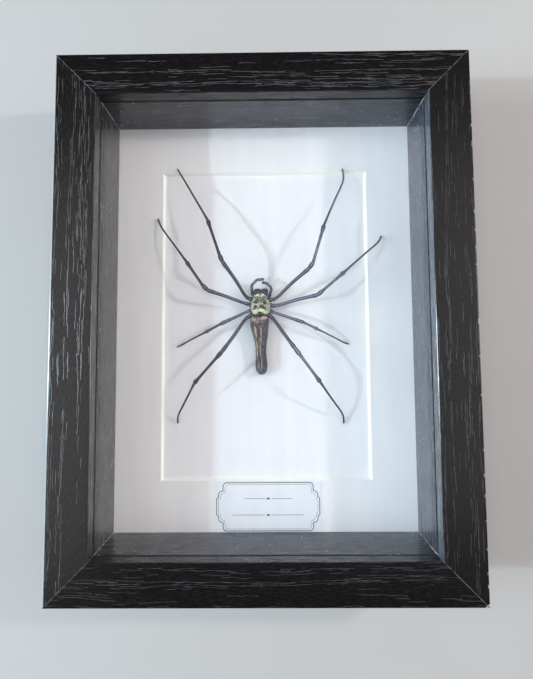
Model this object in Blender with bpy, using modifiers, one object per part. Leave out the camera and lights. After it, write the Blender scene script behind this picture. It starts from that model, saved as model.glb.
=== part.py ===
"""A dried orb weaver spider in a deep black box frame.

The frame lies on its back with its picture side up. Lengths are in metres, +Z is up, +Y is the top
of the picture, and the origin is the centre of the footprint on the surface that it lies on.
"""

import math

import bmesh
import bpy
from mathutils import Matrix, Vector

MM = 0.001

# Outer box
WIDTH = 180 * MM
HEIGHT = 233 * MM
DEPTH = 45 * MM
FACE_WIDTH = 18 * MM
LIP_HEIGHT = 6 * MM
RABBET = 4 * MM
OUTER_ROUND = 0.9 * MM
INNER_ROUND = 0.5 * MM
REST_GAP = 0.3 * MM
SIGHT_WIDTH = WIDTH - 2 * FACE_WIDTH
SIGHT_HEIGHT = HEIGHT - 2 * FACE_WIDTH

# Sheets and strips stacked in the rabbet, from the glass down
GLASS_THICKNESS = 2 * MM
SHEET_SIDE_GAP = 0.4 * MM
SPACER_THICKNESS = 3.4 * MM
MAT_DEPTH_BELOW_FACE = 33 * MM
MAT_THICKNESS = 1.5 * MM
CARD_THICKNESS = 1.5 * MM
BACK_THICKNESS = 2.5 * MM
SHEET_WIDTH = SIGHT_WIDTH + 2 * (RABBET - SHEET_SIDE_GAP)
SHEET_HEIGHT = SIGHT_HEIGHT + 2 * (RABBET - SHEET_SIDE_GAP)

GLASS_TOP = DEPTH - LIP_HEIGHT - REST_GAP
GLASS_BOTTOM = GLASS_TOP - GLASS_THICKNESS
SPACER_TOP = GLASS_BOTTOM - REST_GAP
MAT_TOP = DEPTH - MAT_DEPTH_BELOW_FACE
SPACER_BOTTOM = MAT_TOP + REST_GAP
CARD_TOP = MAT_TOP - MAT_THICKNESS - REST_GAP
BACK_TOP = CARD_TOP - CARD_THICKNESS - REST_GAP
BACK_BOTTOM = BACK_TOP - BACK_THICKNESS

# Window of the mat, cut with a 45 degree bevel that narrows towards the card
WINDOW_WIDTH = 100.7 * MM
WINDOW_HEIGHT = 150.4 * MM
WINDOW_CENTRE = Vector((0.5, 0.5)) * MM

# Printed label under the window
LABEL_WIDTH = 49.6 * MM
LABEL_HEIGHT = 23.0 * MM
LABEL_THICKNESS = 0.3 * MM
LABEL_CENTRE_X = 1.7 * MM

# Steel tabs that hold the back board, pressed into slots in the rails
TAB_WIDTH = 8 * MM
TAB_SHOWN = 10 * MM
TAB_BURIED = 4 * MM
TAB_THICKNESS = 0.5 * MM
TABS_ON_SHORT_RAIL = (-38 * MM, 38 * MM)
TABS_ON_LONG_RAIL = (-58 * MM, 58 * MM)

# Sawtooth hanger riveted to the back board
HANGER_LENGTH = 46 * MM
HANGER_WIDTH = 9 * MM
HANGER_SHEET = 0.8 * MM
HANGER_FOOT = 7 * MM
HANGER_RISE = 1.6 * MM
HANGER_Y = 84 * MM
TOOTH_PITCH = 3.2 * MM
TOOTH_DEPTH = 1.5 * MM
TOOTH_COUNT = 7
RIVET_SHANK_RADIUS = 1.2 * MM
RIVET_HOLE_RADIUS = 1.55 * MM
RIVET_HEAD_RADIUS = 2.4 * MM
RIVET_HEAD_HEIGHT = 0.9 * MM

# The spider is placed by the middle of its carapace, on the card
SPIDER_ORIGIN = Vector((-1.7 * MM, 9.0 * MM, CARD_TOP))

# Stations of the two body halves: y, centre x, centre z, half width, half height, in mm
CARAPACE_STATIONS = (
    (-5.0, 0.0, 4.6, 3.0, 1.5),
    (-4.3, 0.0, 4.4, 4.5, 3.0),
    (-1.8, 0.0, 4.3, 5.0, 3.7),
    (1.0, 0.0, 4.4, 4.9, 4.0),
    (2.4, 0.0, 5.0, 3.5, 3.7),
    (4.4, 0.0, 5.5, 3.2, 3.3),
    (5.2, 0.0, 5.3, 2.7, 2.6),
)
ABDOMEN_STATIONS = (
    (-5.9, -0.8, 5.0, 2.9, 1.9),
    (-6.5, -0.9, 4.9, 4.3, 3.3),
    (-8.6, -0.8, 4.8, 4.5, 4.1),
    (-12.0, -0.5, 4.5, 4.0, 3.9),
    (-15.5, -0.3, 4.1, 3.3, 3.4),
    (-20.0, -0.1, 3.7, 2.6, 2.9),
    (-25.5, 0.0, 3.5, 2.4, 2.6),
    (-28.2, 0.0, 3.6, 2.6, 2.8),
    (-31.0, 0.0, 3.7, 2.9, 2.9),
    (-33.2, 0.0, 3.6, 2.1, 2.1),
)
STERNUM_CENTRE = (0.0, -0.6, 2.3)
STERNUM_RADII = (2.7, 3.6, 1.9)
TUBERCLE_PLACES = ((-1.9, 0.2, 7.4), (1.9, 0.2, 7.4))
TUBERCLE_RADIUS = 0.55
TUBERCLE_HEIGHT = 1.6
BODY_RING_SIDES = 10
BODY_LEVELS = 1

# Joints of the legs, from the middle of the carapace on the card, in mm:
# hip, trochanter, knee in, knee out, ankle, start of the tarsus, claw
LEG_JOINTS = {
    "leg_left_1": ((-3.2, 2.5, 4.2), (-5.4, 3.2, 4.9), (-17.2, 19.0, 16.0), (-18.5, 22.1, 17.0),
                   (-24.4, 39.4, 13.0), (-39.1, 65.3, 4.2), (-41.0, 68.6, 2.4)),
    "leg_left_2": ((-3.4, 0.2, 4.1), (-5.6, 0.5, 4.6), (-24.5, 6.4, 12.0), (-27.0, 8.9, 12.5),
                   (-34.7, 20.1, 10.5), (-48.9, 39.8, 3.7), (-50.4, 43.3, 2.4)),
    "leg_left_3": ((-3.4, -2.1, 4.0), (-5.6, -2.8, 4.3), (-15.8, -7.7, 7.5), (-18.9, -9.1, 7.5),
                   (-26.0, -12.8, 6.5), (-38.6, -18.8, 1.5), (-40.8, -19.7, 0.6)),
    "leg_left_4": ((-2.9, -4.0, 4.2), (-5.5, -5.4, 4.8), (-17.5, -22.1, 14.0), (-20.0, -25.0, 14.5),
                   (-30.5, -36.7, 13.0), (-40.2, -54.1, 2.2), (-40.3, -56.4, 0.6)),
    "leg_right_1": ((3.2, 2.5, 4.2), (5.5, 2.6, 4.9), (22.7, 15.7, 15.0), (24.6, 18.4, 16.0),
                    (30.1, 36.4, 13.0), (40.6, 61.9, 4.2), (41.2, 67.7, 2.4)),
    "leg_right_2": ((3.4, 0.2, 4.1), (5.7, -0.2, 4.6), (27.0, 4.0, 10.5), (29.3, 5.9, 11.0),
                    (39.8, 14.9, 9.0), (58.1, 31.4, 3.4), (59.3, 33.7, 2.4)),
    "leg_right_3": ((3.4, -2.1, 4.0), (5.6, -3.2, 4.3), (18.3, -7.8, 6.5), (20.6, -8.6, 6.5),
                    (27.0, -11.7, 5.5), (40.5, -18.2, 1.4), (42.6, -18.9, 0.6)),
    "leg_right_4": ((2.9, -4.0, 4.2), (4.9, -5.6, 4.8), (15.7, -20.7, 14.0), (18.2, -24.1, 14.5),
                    (27.2, -36.4, 14.0), (39.2, -53.5, 2.6), (39.7, -56.9, 0.6)),
}
# Thickness of a leg along each of its parts: share of the part, radius in mm
LEG_RADII = (
    ((0.0, 0.85), (1.0, 0.90)),
    ((0.10, 0.78), (0.45, 0.88), (0.85, 0.92), (0.97, 1.02)),
    ((0.05, 0.80), (0.30, 1.02), (0.80, 1.00)),
    ((0.0, 0.78), (0.12, 0.70), (0.50, 0.66), (0.85, 0.72), (0.95, 1.00)),
    ((0.0, 0.95), (0.05, 0.58), (0.30, 0.42), (0.65, 0.38), (1.0, 0.34)),
    ((0.5, 0.30), (1.0, 0.24)),
)
THIRD_LEG_SLIMNESS = 0.88
LEG_BEVEL_RESOLUTION = 2

# Feelers beside the jaws: path and radius in mm
PEDIPALP_PATHS = {
    "pedipalp_left": ((-2.6, 4.0, 4.2, 0.55), (-3.7, 5.9, 5.0, 0.56), (-4.3, 7.4, 6.2, 0.55), (-4.4, 8.9, 6.9, 0.58),
                      (-3.7, 9.9, 7.0, 0.46), (-2.4, 11.7, 6.9, 0.52), (-0.8, 12.6, 6.4, 0.52),
                      (0.6, 12.8, 6.0, 0.46), (1.8, 12.5, 5.6, 0.26)),
    "pedipalp_right": ((2.6, 3.4, 4.2, 0.55), (4.2, 4.4, 5.0, 0.56), (5.0, 6.0, 6.2, 0.55), (5.2, 7.8, 6.9, 0.58),
                       (4.7, 8.6, 7.0, 0.46), (3.5, 10.1, 6.9, 0.52), (2.2, 10.9, 6.4, 0.52),
                       (1.3, 10.8, 6.0, 0.46), (0.5, 10.3, 5.6, 0.26)),
}
# Jaws under the front of the head: path and radius in mm, for the right one
CHELICERA_PATH = ((1.5, 4.2, 6.0, 1.15), (1.55, 5.6, 5.6, 1.32), (1.6, 6.4, 4.2, 1.38), (1.55, 6.5, 2.8, 1.2),
                  (1.35, 6.2, 1.8, 0.85), (1.1, 5.8, 1.1, 0.35))
JAW_BEVEL_RESOLUTION = 4


def empty_the_scene():
    for obj in list(bpy.data.objects):
        bpy.data.objects.remove(obj)


def collection(name):
    made = bpy.data.collections.new(name)
    bpy.context.scene.collection.children.link(made)
    return made


def finish_material(name, colour, roughness, metallic=0.0, transmission=0.0):
    made = bpy.data.materials.new(name)
    made.use_nodes = True
    shader = made.node_tree.nodes["Principled BSDF"]
    shader.inputs["Base Color"].default_value = (*colour, 1.0)
    shader.inputs["Roughness"].default_value = roughness
    shader.inputs["Metallic"].default_value = metallic
    shader.inputs["Transmission Weight"].default_value = transmission
    return made


def place(obj, into, material=None):
    """Puts an object in a collection and gives it its finish."""
    into.objects.link(obj)
    if material is not None:
        obj.data.materials.clear()
        obj.data.materials.append(material)
    return obj


def object_of(bm, name, into, material=None):
    """A mesh object made from a bmesh, with its faces turned outwards."""
    bmesh.ops.recalc_face_normals(bm, faces=bm.faces)
    mesh = bpy.data.meshes.new(name)
    bm.to_mesh(mesh)
    bm.free()
    return place(bpy.data.objects.new(name, mesh), into, material)


def helper(obj):
    """Marks a cutter, which isn't part of the object."""
    obj.hide_render = True
    obj.display_type = "WIRE"
    return obj


def cut(obj, cutter):
    modifier = obj.modifiers.new("cut by " + cutter.name, "BOOLEAN")
    modifier.operation = "DIFFERENCE"
    modifier.object = cutter


def join(obj, other):
    modifier = obj.modifiers.new("joined with " + other.name, "BOOLEAN")
    modifier.operation = "UNION"
    modifier.object = other


def box(name, low, high, into, material=None):
    """A block between two corners."""
    low, high = Vector(low), Vector(high)
    bm = bmesh.new()
    bmesh.ops.create_cube(bm, size=1.0)
    bmesh.ops.scale(bm, vec=high - low, verts=bm.verts)
    bmesh.ops.translate(bm, vec=(low + high) / 2, verts=bm.verts)
    return object_of(bm, name, into, material)


def welded_mesh(curve_object):
    """The closed mesh of a curve object, which it takes the place of."""
    bpy.context.view_layer.update()
    graph = bpy.context.evaluated_depsgraph_get()
    mesh = bpy.data.meshes.new_from_object(curve_object.evaluated_get(graph))
    bm = bmesh.new()
    bm.from_mesh(mesh)
    bpy.data.meshes.remove(mesh)
    bmesh.ops.remove_doubles(bm, verts=bm.verts, dist=1e-6)
    bmesh.ops.transform(bm, matrix=curve_object.matrix_world, verts=bm.verts)
    bpy.data.objects.remove(curve_object)
    return bm


def outline_prism(outline, thickness):
    """A bmesh of a closed flat outline in X and Y, with its thickness along Z centred on zero."""
    curve = bpy.data.curves.new("outline", "CURVE")
    curve.dimensions = "2D"
    curve.fill_mode = "BOTH"
    curve.extrude = thickness / 2
    spline = curve.splines.new("POLY")
    spline.points.add(len(outline) - 1)
    for point, (x, y) in zip(spline.points, outline):
        point.co = (x, y, 0.0, 1.0)
    spline.use_cyclic_u = True
    drawn = bpy.data.objects.new("outline", curve)
    bpy.context.scene.collection.objects.link(drawn)
    return welded_mesh(drawn)


def arc(centre, radius, start_degrees, end_degrees, steps):
    """Points of a round corner, both ends included."""
    angles = [math.radians(start_degrees + (end_degrees - start_degrees) * i / steps) for i in range(steps + 1)]
    return [(centre[0] + radius * math.cos(a), centre[1] + radius * math.sin(a)) for a in angles]


def mitred_strip(outline, length, gap):
    """A strip along X with a cross-section in Y and Z, cut at 45 degrees at both ends.

    Y counts inwards from the outer edge, whose length is given.
    """
    bm = outline_prism(outline, length + 2 * MM)
    turn = Matrix(((0, 0, 1, 0), (1, 0, 0, 0), (0, 1, 0, 0), (0, 0, 0, 1)))
    bmesh.ops.transform(bm, matrix=turn, verts=bm.verts)
    for end in (-1, 1):
        bmesh.ops.bisect_plane(
            bm,
            geom=bm.verts[:] + bm.edges[:] + bm.faces[:],
            plane_co=(end * (length / 2 - gap / math.sqrt(2)), 0, 0),
            plane_no=(end, 1, 0),
            clear_outer=True,
        )
        bmesh.ops.holes_fill(bm, edges=[e for e in bm.edges if e.is_boundary], sides=0)
    return bm


def on_side(bm, quarter_turns, distance):
    """Moves a strip made along X from the bottom side of the frame to another side."""
    bmesh.ops.translate(bm, vec=(0, -distance, 0), verts=bm.verts)
    bmesh.ops.rotate(bm, matrix=Matrix.Rotation(quarter_turns * math.pi / 2, 3, "Z"), verts=bm.verts)
    return bm


def sides(width, height):
    """Name, quarter turns, outer edge length and distance from the centre, for the four sides of a frame."""
    return (
        ("bottom", 0, width, height / 2),
        ("right", 1, height, width / 2),
        ("top", 2, width, height / 2),
        ("left", 3, height, width / 2),
    )


def rail_outline():
    """Cross-section of a rail: outer wall, face, sight edge and the rabbet behind its lip."""
    shoulder = DEPTH - LIP_HEIGHT
    return [
        (0, 0),
        (FACE_WIDTH - RABBET, 0),
        (FACE_WIDTH - RABBET, shoulder),
        (FACE_WIDTH, shoulder),
        *arc((FACE_WIDTH - INNER_ROUND, DEPTH - INNER_ROUND), INNER_ROUND, 0, 90, 3),
        *arc((OUTER_ROUND, DEPTH - OUTER_ROUND), OUTER_ROUND, 90, 180, 4),
    ]


def build_rails(into, cutters, material):
    rails = {}
    for name, turns, length, distance in sides(WIDTH, HEIGHT):
        bm = on_side(mitred_strip(rail_outline(), length, REST_GAP / 2), turns, distance)
        rails[name] = object_of(bm, "frame_rail_" + name, into, material)
    slot_low = BACK_BOTTOM - REST_GAP - TAB_THICKNESS - REST_GAP
    slot_high = BACK_BOTTOM
    for name, turns, places in tab_places():
        half_slot = TAB_WIDTH / 2 + REST_GAP
        wall = (HEIGHT if turns % 2 == 0 else WIDTH) / 2 - (FACE_WIDTH - RABBET)
        for number, along in enumerate(places):
            bm = bmesh.new()
            bmesh.ops.create_cube(bm, size=1.0)
            bmesh.ops.scale(bm, vec=(2 * half_slot, 2 * (TAB_BURIED + REST_GAP), slot_high - slot_low), verts=bm.verts)
            bmesh.ops.translate(bm, vec=(along, -wall, (slot_low + slot_high) / 2), verts=bm.verts)
            bmesh.ops.rotate(bm, matrix=Matrix.Rotation(turns * math.pi / 2, 3, "Z"), verts=bm.verts)
            cutter = helper(object_of(bm, f"slot_{name}_{number}", cutters))
            cut(rails[name], cutter)


def build_spacers(into, material):
    """Four mitred strips between the glass and the mat, flush with the sight edge."""
    outline = [
        (0, SPACER_BOTTOM),
        (SPACER_THICKNESS, SPACER_BOTTOM),
        (SPACER_THICKNESS, SPACER_TOP),
        (0, SPACER_TOP),
    ]
    for name, turns, length, distance in sides(
        SIGHT_WIDTH + 2 * SPACER_THICKNESS, SIGHT_HEIGHT + 2 * SPACER_THICKNESS
    ):
        bm = on_side(mitred_strip(outline, length, REST_GAP / 3), turns, distance)
        object_of(bm, "spacer_" + name, into, material)


def sheet(name, bottom, top, into, material):
    """A sheet that fills the rabbet."""
    low = (-SHEET_WIDTH / 2, -SHEET_HEIGHT / 2, bottom)
    high = (SHEET_WIDTH / 2, SHEET_HEIGHT / 2, top)
    return box(name, low, high, into, material)


def build_window_mat(into, cutters, material):
    """The mat, whose window is wider at the face than at the card, by the mat's own thickness."""
    mat = sheet("window_mat", MAT_TOP - MAT_THICKNESS, MAT_TOP, into, material)
    over = 1 * MM
    bm = bmesh.new()
    bmesh.ops.create_cube(bm, size=1.0)
    for vert in bm.verts:
        up = vert.co.z > 0
        widening = over if up else -MAT_THICKNESS - over
        vert.co.x *= WINDOW_WIDTH + 2 * widening
        vert.co.y *= WINDOW_HEIGHT + 2 * widening
        vert.co.z = MAT_TOP + widening
    bmesh.ops.translate(bm, vec=WINDOW_CENTRE.to_3d(), verts=bm.verts)
    cut(mat, helper(object_of(bm, "window_cutter", cutters)))


def build_label(into, material):
    """A printed card glued to the mat, from the window down to the spacer."""
    bottom = -SIGHT_HEIGHT / 2 + REST_GAP
    low = (LABEL_CENTRE_X - LABEL_WIDTH / 2, bottom, MAT_TOP + REST_GAP)
    high = (LABEL_CENTRE_X + LABEL_WIDTH / 2, bottom + LABEL_HEIGHT, MAT_TOP + REST_GAP + LABEL_THICKNESS)
    box("label_card", low, high, into, material)


def tab_places():
    """Side, quarter turns and places along the rail of the tabs."""
    return (
        ("bottom", 0, TABS_ON_SHORT_RAIL),
        ("right", 1, TABS_ON_LONG_RAIL),
        ("top", 2, TABS_ON_SHORT_RAIL),
        ("left", 3, TABS_ON_LONG_RAIL),
    )


def build_tabs(into, material):
    """Round-ended steel tongues, part in their slots and part over the back board."""
    half = TAB_WIDTH / 2
    outline = [(-half, -TAB_BURIED), (half, -TAB_BURIED), *arc((0, TAB_SHOWN - half), half, 0, 180, 8)]
    middle = BACK_BOTTOM - REST_GAP - TAB_THICKNESS / 2
    for name, turns, places in tab_places():
        wall = (HEIGHT if turns % 2 == 0 else WIDTH) / 2 - (FACE_WIDTH - RABBET)
        for number, along in enumerate(places, start=1):
            bm = outline_prism(outline, TAB_THICKNESS)
            bmesh.ops.translate(bm, vec=(along, -wall, middle), verts=bm.verts)
            bmesh.ops.rotate(bm, matrix=Matrix.Rotation(turns * math.pi / 2, 3, "Z"), verts=bm.verts)
            object_of(bm, f"holding_tab_{name}_{number}", into, material)


def rivet_places():
    reach = HANGER_LENGTH / 2 - HANGER_FOOT / 2
    return (("left", -reach), ("right", reach))


def build_back_board(into, cutters, material):
    board = sheet("back_board", BACK_BOTTOM, BACK_TOP, into, material)
    for name, x in rivet_places():
        bm = bmesh.new()
        bmesh.ops.create_cone(
            bm, cap_ends=True, segments=16, radius1=RIVET_HOLE_RADIUS, radius2=RIVET_HOLE_RADIUS, depth=20 * MM
        )
        bmesh.ops.translate(bm, vec=(x, HANGER_Y, BACK_BOTTOM), verts=bm.verts)
        cut(board, helper(object_of(bm, "rivet_hole_" + name, cutters)))


def hanger_outline():
    """Side of the hanger as a bent strip: two flat feet and a raised middle, Y away from the board."""
    half = HANGER_LENGTH / 2
    foot = half - HANGER_FOOT
    step = foot - HANGER_RISE
    top = HANGER_RISE + HANGER_SHEET
    return [
        (-half, 0), (-foot, 0), (-step, HANGER_RISE), (step, HANGER_RISE), (foot, 0), (half, 0),
        (half, HANGER_SHEET), (foot + 0.3 * MM, HANGER_SHEET), (step + 0.3 * MM, top),
        (-step - 0.3 * MM, top), (-foot - 0.3 * MM, HANGER_SHEET), (-half, HANGER_SHEET),
    ]


def build_hanger(into, cutters, material):
    bm = outline_prism(hanger_outline(), HANGER_WIDTH)
    # X stays, the outline's Y points down away from the board, and the width runs along Y
    turn = Matrix(((1, 0, 0, 0), (0, 0, 1, 0), (0, -1, 0, 0), (0, 0, 0, 1)))
    bmesh.ops.transform(bm, matrix=turn, verts=bm.verts)
    bmesh.ops.translate(bm, vec=(0, HANGER_Y, BACK_BOTTOM - REST_GAP), verts=bm.verts)
    hanger = object_of(bm, "sawtooth_hanger", into, material)

    half_run = TOOTH_COUNT * TOOTH_PITCH / 2
    edge = HANGER_Y - HANGER_WIDTH / 2
    teeth = [(-half_run, edge)]
    for i in range(TOOTH_COUNT):
        left = -half_run + i * TOOTH_PITCH
        teeth += [(left + TOOTH_PITCH / 2, edge + TOOTH_DEPTH), (left + TOOTH_PITCH, edge)]
    teeth += [(half_run, edge - 2 * MM), (-half_run, edge - 2 * MM)]
    bm = outline_prism(teeth, 30 * MM)
    cut(hanger, helper(object_of(bm, "tooth_cutter", cutters)))
    for name, _ in rivet_places():
        cut(hanger, bpy.data.objects["rivet_hole_" + name])


def build_rivets(into, material):
    """Domed rivets that pass through the hanger's feet into the board."""
    head_base = -HANGER_SHEET - 2 * REST_GAP
    dome_radius = (RIVET_HEAD_RADIUS**2 + RIVET_HEAD_HEIGHT**2) / (2 * RIVET_HEAD_HEIGHT)
    spread = math.degrees(math.asin(RIVET_HEAD_RADIUS / dome_radius))
    dome = arc((0, head_base - RIVET_HEAD_HEIGHT + dome_radius), dome_radius, -90 + spread, -90, 4)
    profile = [(0, BACK_THICKNESS - 0.2 * MM), (RIVET_SHANK_RADIUS, BACK_THICKNESS - 0.2 * MM)]
    profile += [(RIVET_SHANK_RADIUS, head_base), *dome]
    for name, x in rivet_places():
        mesh = bpy.data.meshes.new("hanger_rivet_" + name)
        mesh.from_pydata([(r, 0, z) for r, z in profile], [(i, i + 1) for i in range(len(profile) - 1)], [])
        rivet = place(bpy.data.objects.new("hanger_rivet_" + name, mesh), into, material)
        rivet.location = (x, HANGER_Y, BACK_BOTTOM)
        turned = rivet.modifiers.new("turned", "SCREW")
        turned.steps = turned.render_steps = 16
        turned.use_merge_vertices = True
        turned.merge_threshold = 0.00001


def lofted_body(name, stations, into, material=None, grow=0.0):
    """A closed soft form through oval rings along Y, rounded by Subdivision Surface. Sizes are in mm."""
    bm = bmesh.new()
    upright = Matrix.Rotation(math.pi / 2, 4, "X")
    before = []
    for y, x, z, half_width, half_height in stations:
        size = Vector((half_width + grow, 1, half_height + grow)) * MM
        form = Matrix.LocRotScale(Vector((x, y, z)) * MM, None, size) @ upright
        ring = bmesh.ops.create_circle(bm, radius=1.0, segments=BODY_RING_SIDES, matrix=form)["verts"]
        edges = list({edge for vert in ring for edge in vert.link_edges})
        if before:
            bmesh.ops.bridge_loops(bm, edges=before + edges)
        before = edges
    bmesh.ops.holes_fill(bm, edges=[edge for edge in bm.edges if edge.is_boundary], sides=0)
    body = object_of(bm, name, into, material)
    body.location = SPIDER_ORIGIN
    smooth = body.modifiers.new("rounded", "SUBSURF")
    smooth.levels = smooth.render_levels = BODY_LEVELS
    return body


def ellipsoid(name, centre, radii, into, segments=16, rings=8):
    bm = bmesh.new()
    bmesh.ops.create_uvsphere(bm, u_segments=segments, v_segments=rings, radius=1.0)
    bmesh.ops.scale(bm, vec=Vector(radii) * MM, verts=bm.verts)
    bmesh.ops.translate(bm, vec=Vector(centre) * MM + SPIDER_ORIGIN, verts=bm.verts)
    return helper(object_of(bm, name, into))


def tubercle(name, foot, into):
    """A blunt cone on the back of the carapace."""
    bm = bmesh.new()
    bmesh.ops.create_cone(
        bm, cap_ends=True, segments=8, radius1=TUBERCLE_RADIUS * MM, radius2=0.2 * MM, depth=TUBERCLE_HEIGHT * MM
    )
    bmesh.ops.translate(bm, vec=Vector(foot) * MM + SPIDER_ORIGIN, verts=bm.verts)
    return helper(object_of(bm, name, into))


def build_cephalothorax(into, cutters, material):
    """Head and thorax in one, with the breast plate under it. It also gives the cutter that seats the limbs."""
    body = lofted_body("cephalothorax", CARAPACE_STATIONS, into, material)
    join(body, ellipsoid("sternum", STERNUM_CENTRE, STERNUM_RADII, cutters))
    for number, foot in enumerate(TUBERCLE_PLACES):
        join(body, tubercle(f"tubercle_{number}", foot, cutters))
    gap = REST_GAP / MM
    stations = [(y, x, z, w, h) for y, x, z, w, h in CARAPACE_STATIONS]
    stations[0] = (stations[0][0] - gap, *stations[0][1:])
    stations[-1] = (stations[-1][0] + gap, *stations[-1][1:])
    seat = helper(lofted_body("limb_seat", stations, cutters, grow=gap))
    breast_radii = [r + gap for r in STERNUM_RADII]
    return seat, ellipsoid("limb_seat_below", STERNUM_CENTRE, breast_radii, cutters)


def tapered_tube(name, path, into, material, bevel_resolution):
    """A tube through points (x, y, z, radius) in mm, from the middle of the carapace on the card."""
    curve = bpy.data.curves.new(name, "CURVE")
    curve.dimensions = "3D"
    curve.bevel_depth = MM
    curve.bevel_resolution = bevel_resolution
    curve.use_fill_caps = True
    spline = curve.splines.new("POLY")
    spline.points.add(len(path) - 1)
    for point, (x, y, z, radius) in zip(spline.points, path):
        point.co = (*(Vector((x, y, z)) * MM + SPIDER_ORIGIN), 1.0)
        point.radius = radius
    drawn = bpy.data.objects.new(name + "_path", curve)
    bpy.context.scene.collection.objects.link(drawn)
    return object_of(welded_mesh(drawn), name, into, material)


def leg_path(joints, slimness):
    """Points along a leg with the radius at each, thick at the joints and thin between them."""
    path = []
    for start, end, radii in zip(joints, joints[1:], LEG_RADII):
        for share, radius in radii:
            x, y, z = Vector(start).lerp(Vector(end), share)
            path.append((x, y, z, radius * slimness))
    return path


def build_limbs(into, seats, material):
    limbs = []
    for name, joints in LEG_JOINTS.items():
        slimness = THIRD_LEG_SLIMNESS if name.endswith("3") else 1.0
        limbs.append(tapered_tube(name, leg_path(joints, slimness), into, material, LEG_BEVEL_RESOLUTION))
    for name, path in PEDIPALP_PATHS.items():
        limbs.append(tapered_tube(name, path, into, material, LEG_BEVEL_RESOLUTION))
    for name, side in (("chelicera_left", -1), ("chelicera_right", 1)):
        path = [(side * x, y, z, radius) for x, y, z, radius in CHELICERA_PATH]
        limbs.append(tapered_tube(name, path, into, material, JAW_BEVEL_RESOLUTION))
    for limb in limbs:
        for seat in seats:
            cut(limb, seat)


def main():
    empty_the_scene()
    parts = collection("framed_orb_weaver_spider")
    cutters = collection("cutters")

    foil = finish_material("black_woodgrain_foil", (0.012, 0.011, 0.011), 0.45)
    black_strip = finish_material("black_spacer", (0.03, 0.03, 0.032), 0.5)
    glass = finish_material("clear_glass", (1.0, 1.0, 1.0), 0.0, transmission=1.0)
    mat_board = finish_material("white_mat_board", (0.78, 0.79, 0.82), 0.85)
    card = finish_material("white_card", (0.84, 0.85, 0.88), 0.85)
    label = finish_material("label_paper", (0.82, 0.84, 0.88), 0.7)
    hardboard = finish_material("brown_hardboard", (0.16, 0.095, 0.05), 0.75)
    steel = finish_material("bright_steel", (0.6, 0.6, 0.6), 0.35, metallic=1.0)
    carapace = finish_material("yellow_green_carapace", (0.42, 0.42, 0.2), 0.6)
    abdomen = finish_material("brown_abdomen", (0.15, 0.1, 0.065), 0.6)
    limb = finish_material("black_limbs", (0.02, 0.024, 0.03), 0.35)

    build_rails(parts, cutters, foil)
    build_spacers(parts, black_strip)
    sheet("glass_pane", GLASS_BOTTOM, GLASS_TOP, parts, glass)
    build_window_mat(parts, cutters, mat_board)
    sheet("backing_card", BACK_TOP + REST_GAP, CARD_TOP, parts, card)
    build_label(parts, label)
    build_back_board(parts, cutters, hardboard)
    build_tabs(parts, steel)
    build_hanger(parts, cutters, steel)
    build_rivets(parts, steel)

    seats = build_cephalothorax(parts, cutters, carapace)
    lofted_body("abdomen", ABDOMEN_STATIONS, parts, abdomen)
    build_limbs(parts, seats, limb)


main()
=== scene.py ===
"""Looks of a dried orb weaver spider in a deep black box frame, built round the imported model.

Lengths are in metres. The frame lies on its back: +Z points out of the glass, +Y to the top of the picture.
"""

import functools
import math
import random

import bmesh
import bpy
from mathutils import Matrix, Vector, noise


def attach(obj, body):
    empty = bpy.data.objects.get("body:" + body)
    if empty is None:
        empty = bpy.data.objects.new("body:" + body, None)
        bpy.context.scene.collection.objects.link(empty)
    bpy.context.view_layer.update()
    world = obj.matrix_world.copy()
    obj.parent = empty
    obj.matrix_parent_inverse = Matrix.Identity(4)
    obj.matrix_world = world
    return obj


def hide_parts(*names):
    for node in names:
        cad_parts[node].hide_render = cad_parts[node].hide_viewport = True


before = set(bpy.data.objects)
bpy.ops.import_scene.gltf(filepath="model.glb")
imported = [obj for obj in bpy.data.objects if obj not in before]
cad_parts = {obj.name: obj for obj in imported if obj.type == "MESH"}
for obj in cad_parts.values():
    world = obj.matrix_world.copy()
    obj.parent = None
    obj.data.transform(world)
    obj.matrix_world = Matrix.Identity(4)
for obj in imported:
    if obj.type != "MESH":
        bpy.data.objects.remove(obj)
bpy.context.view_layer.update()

MM = 0.001
WIDTH, HEIGHT, DEPTH = 180 * MM, 233 * MM, 45 * MM
FACE_WIDTH = 18 * MM
RABBET_WALL = 14 * MM
SHOULDER = 39 * MM
SIGHT_WIDTH, SIGHT_HEIGHT = WIDTH - 2 * FACE_WIDTH, HEIGHT - 2 * FACE_WIDTH
SHEET_WIDTH, SHEET_HEIGHT = 151.2 * MM, 204.2 * MM
SPACER_THICKNESS = 3.4 * MM
GLASS_TOP, GLASS_BOTTOM = 38.95 * MM, 36.95 * MM
MAT_TOP, MAT_BOTTOM = 12.0 * MM, 10.5 * MM
CARD_TOP = 10.48 * MM
MITRE_LINE, MITRE_GAP = 0.16 * MM, 0.02 * MM
# Gap between pieces that lie on each other, and the upper side of the fittings under the back board
LAY_GAP = 0.02 * MM
FITTING_TOP = 5.87 * MM
INK = 0.02 * MM

# Middle of the carapace on the card, which the spider's own numbers in mm are counted from
SPIDER_ORIGIN = Vector((-1.7, 9.0, 10.2)) * MM
SPIDER_PLACE = Matrix.Translation(SPIDER_ORIGIN) @ Matrix.Scale(MM, 4)


# Shader building


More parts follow.
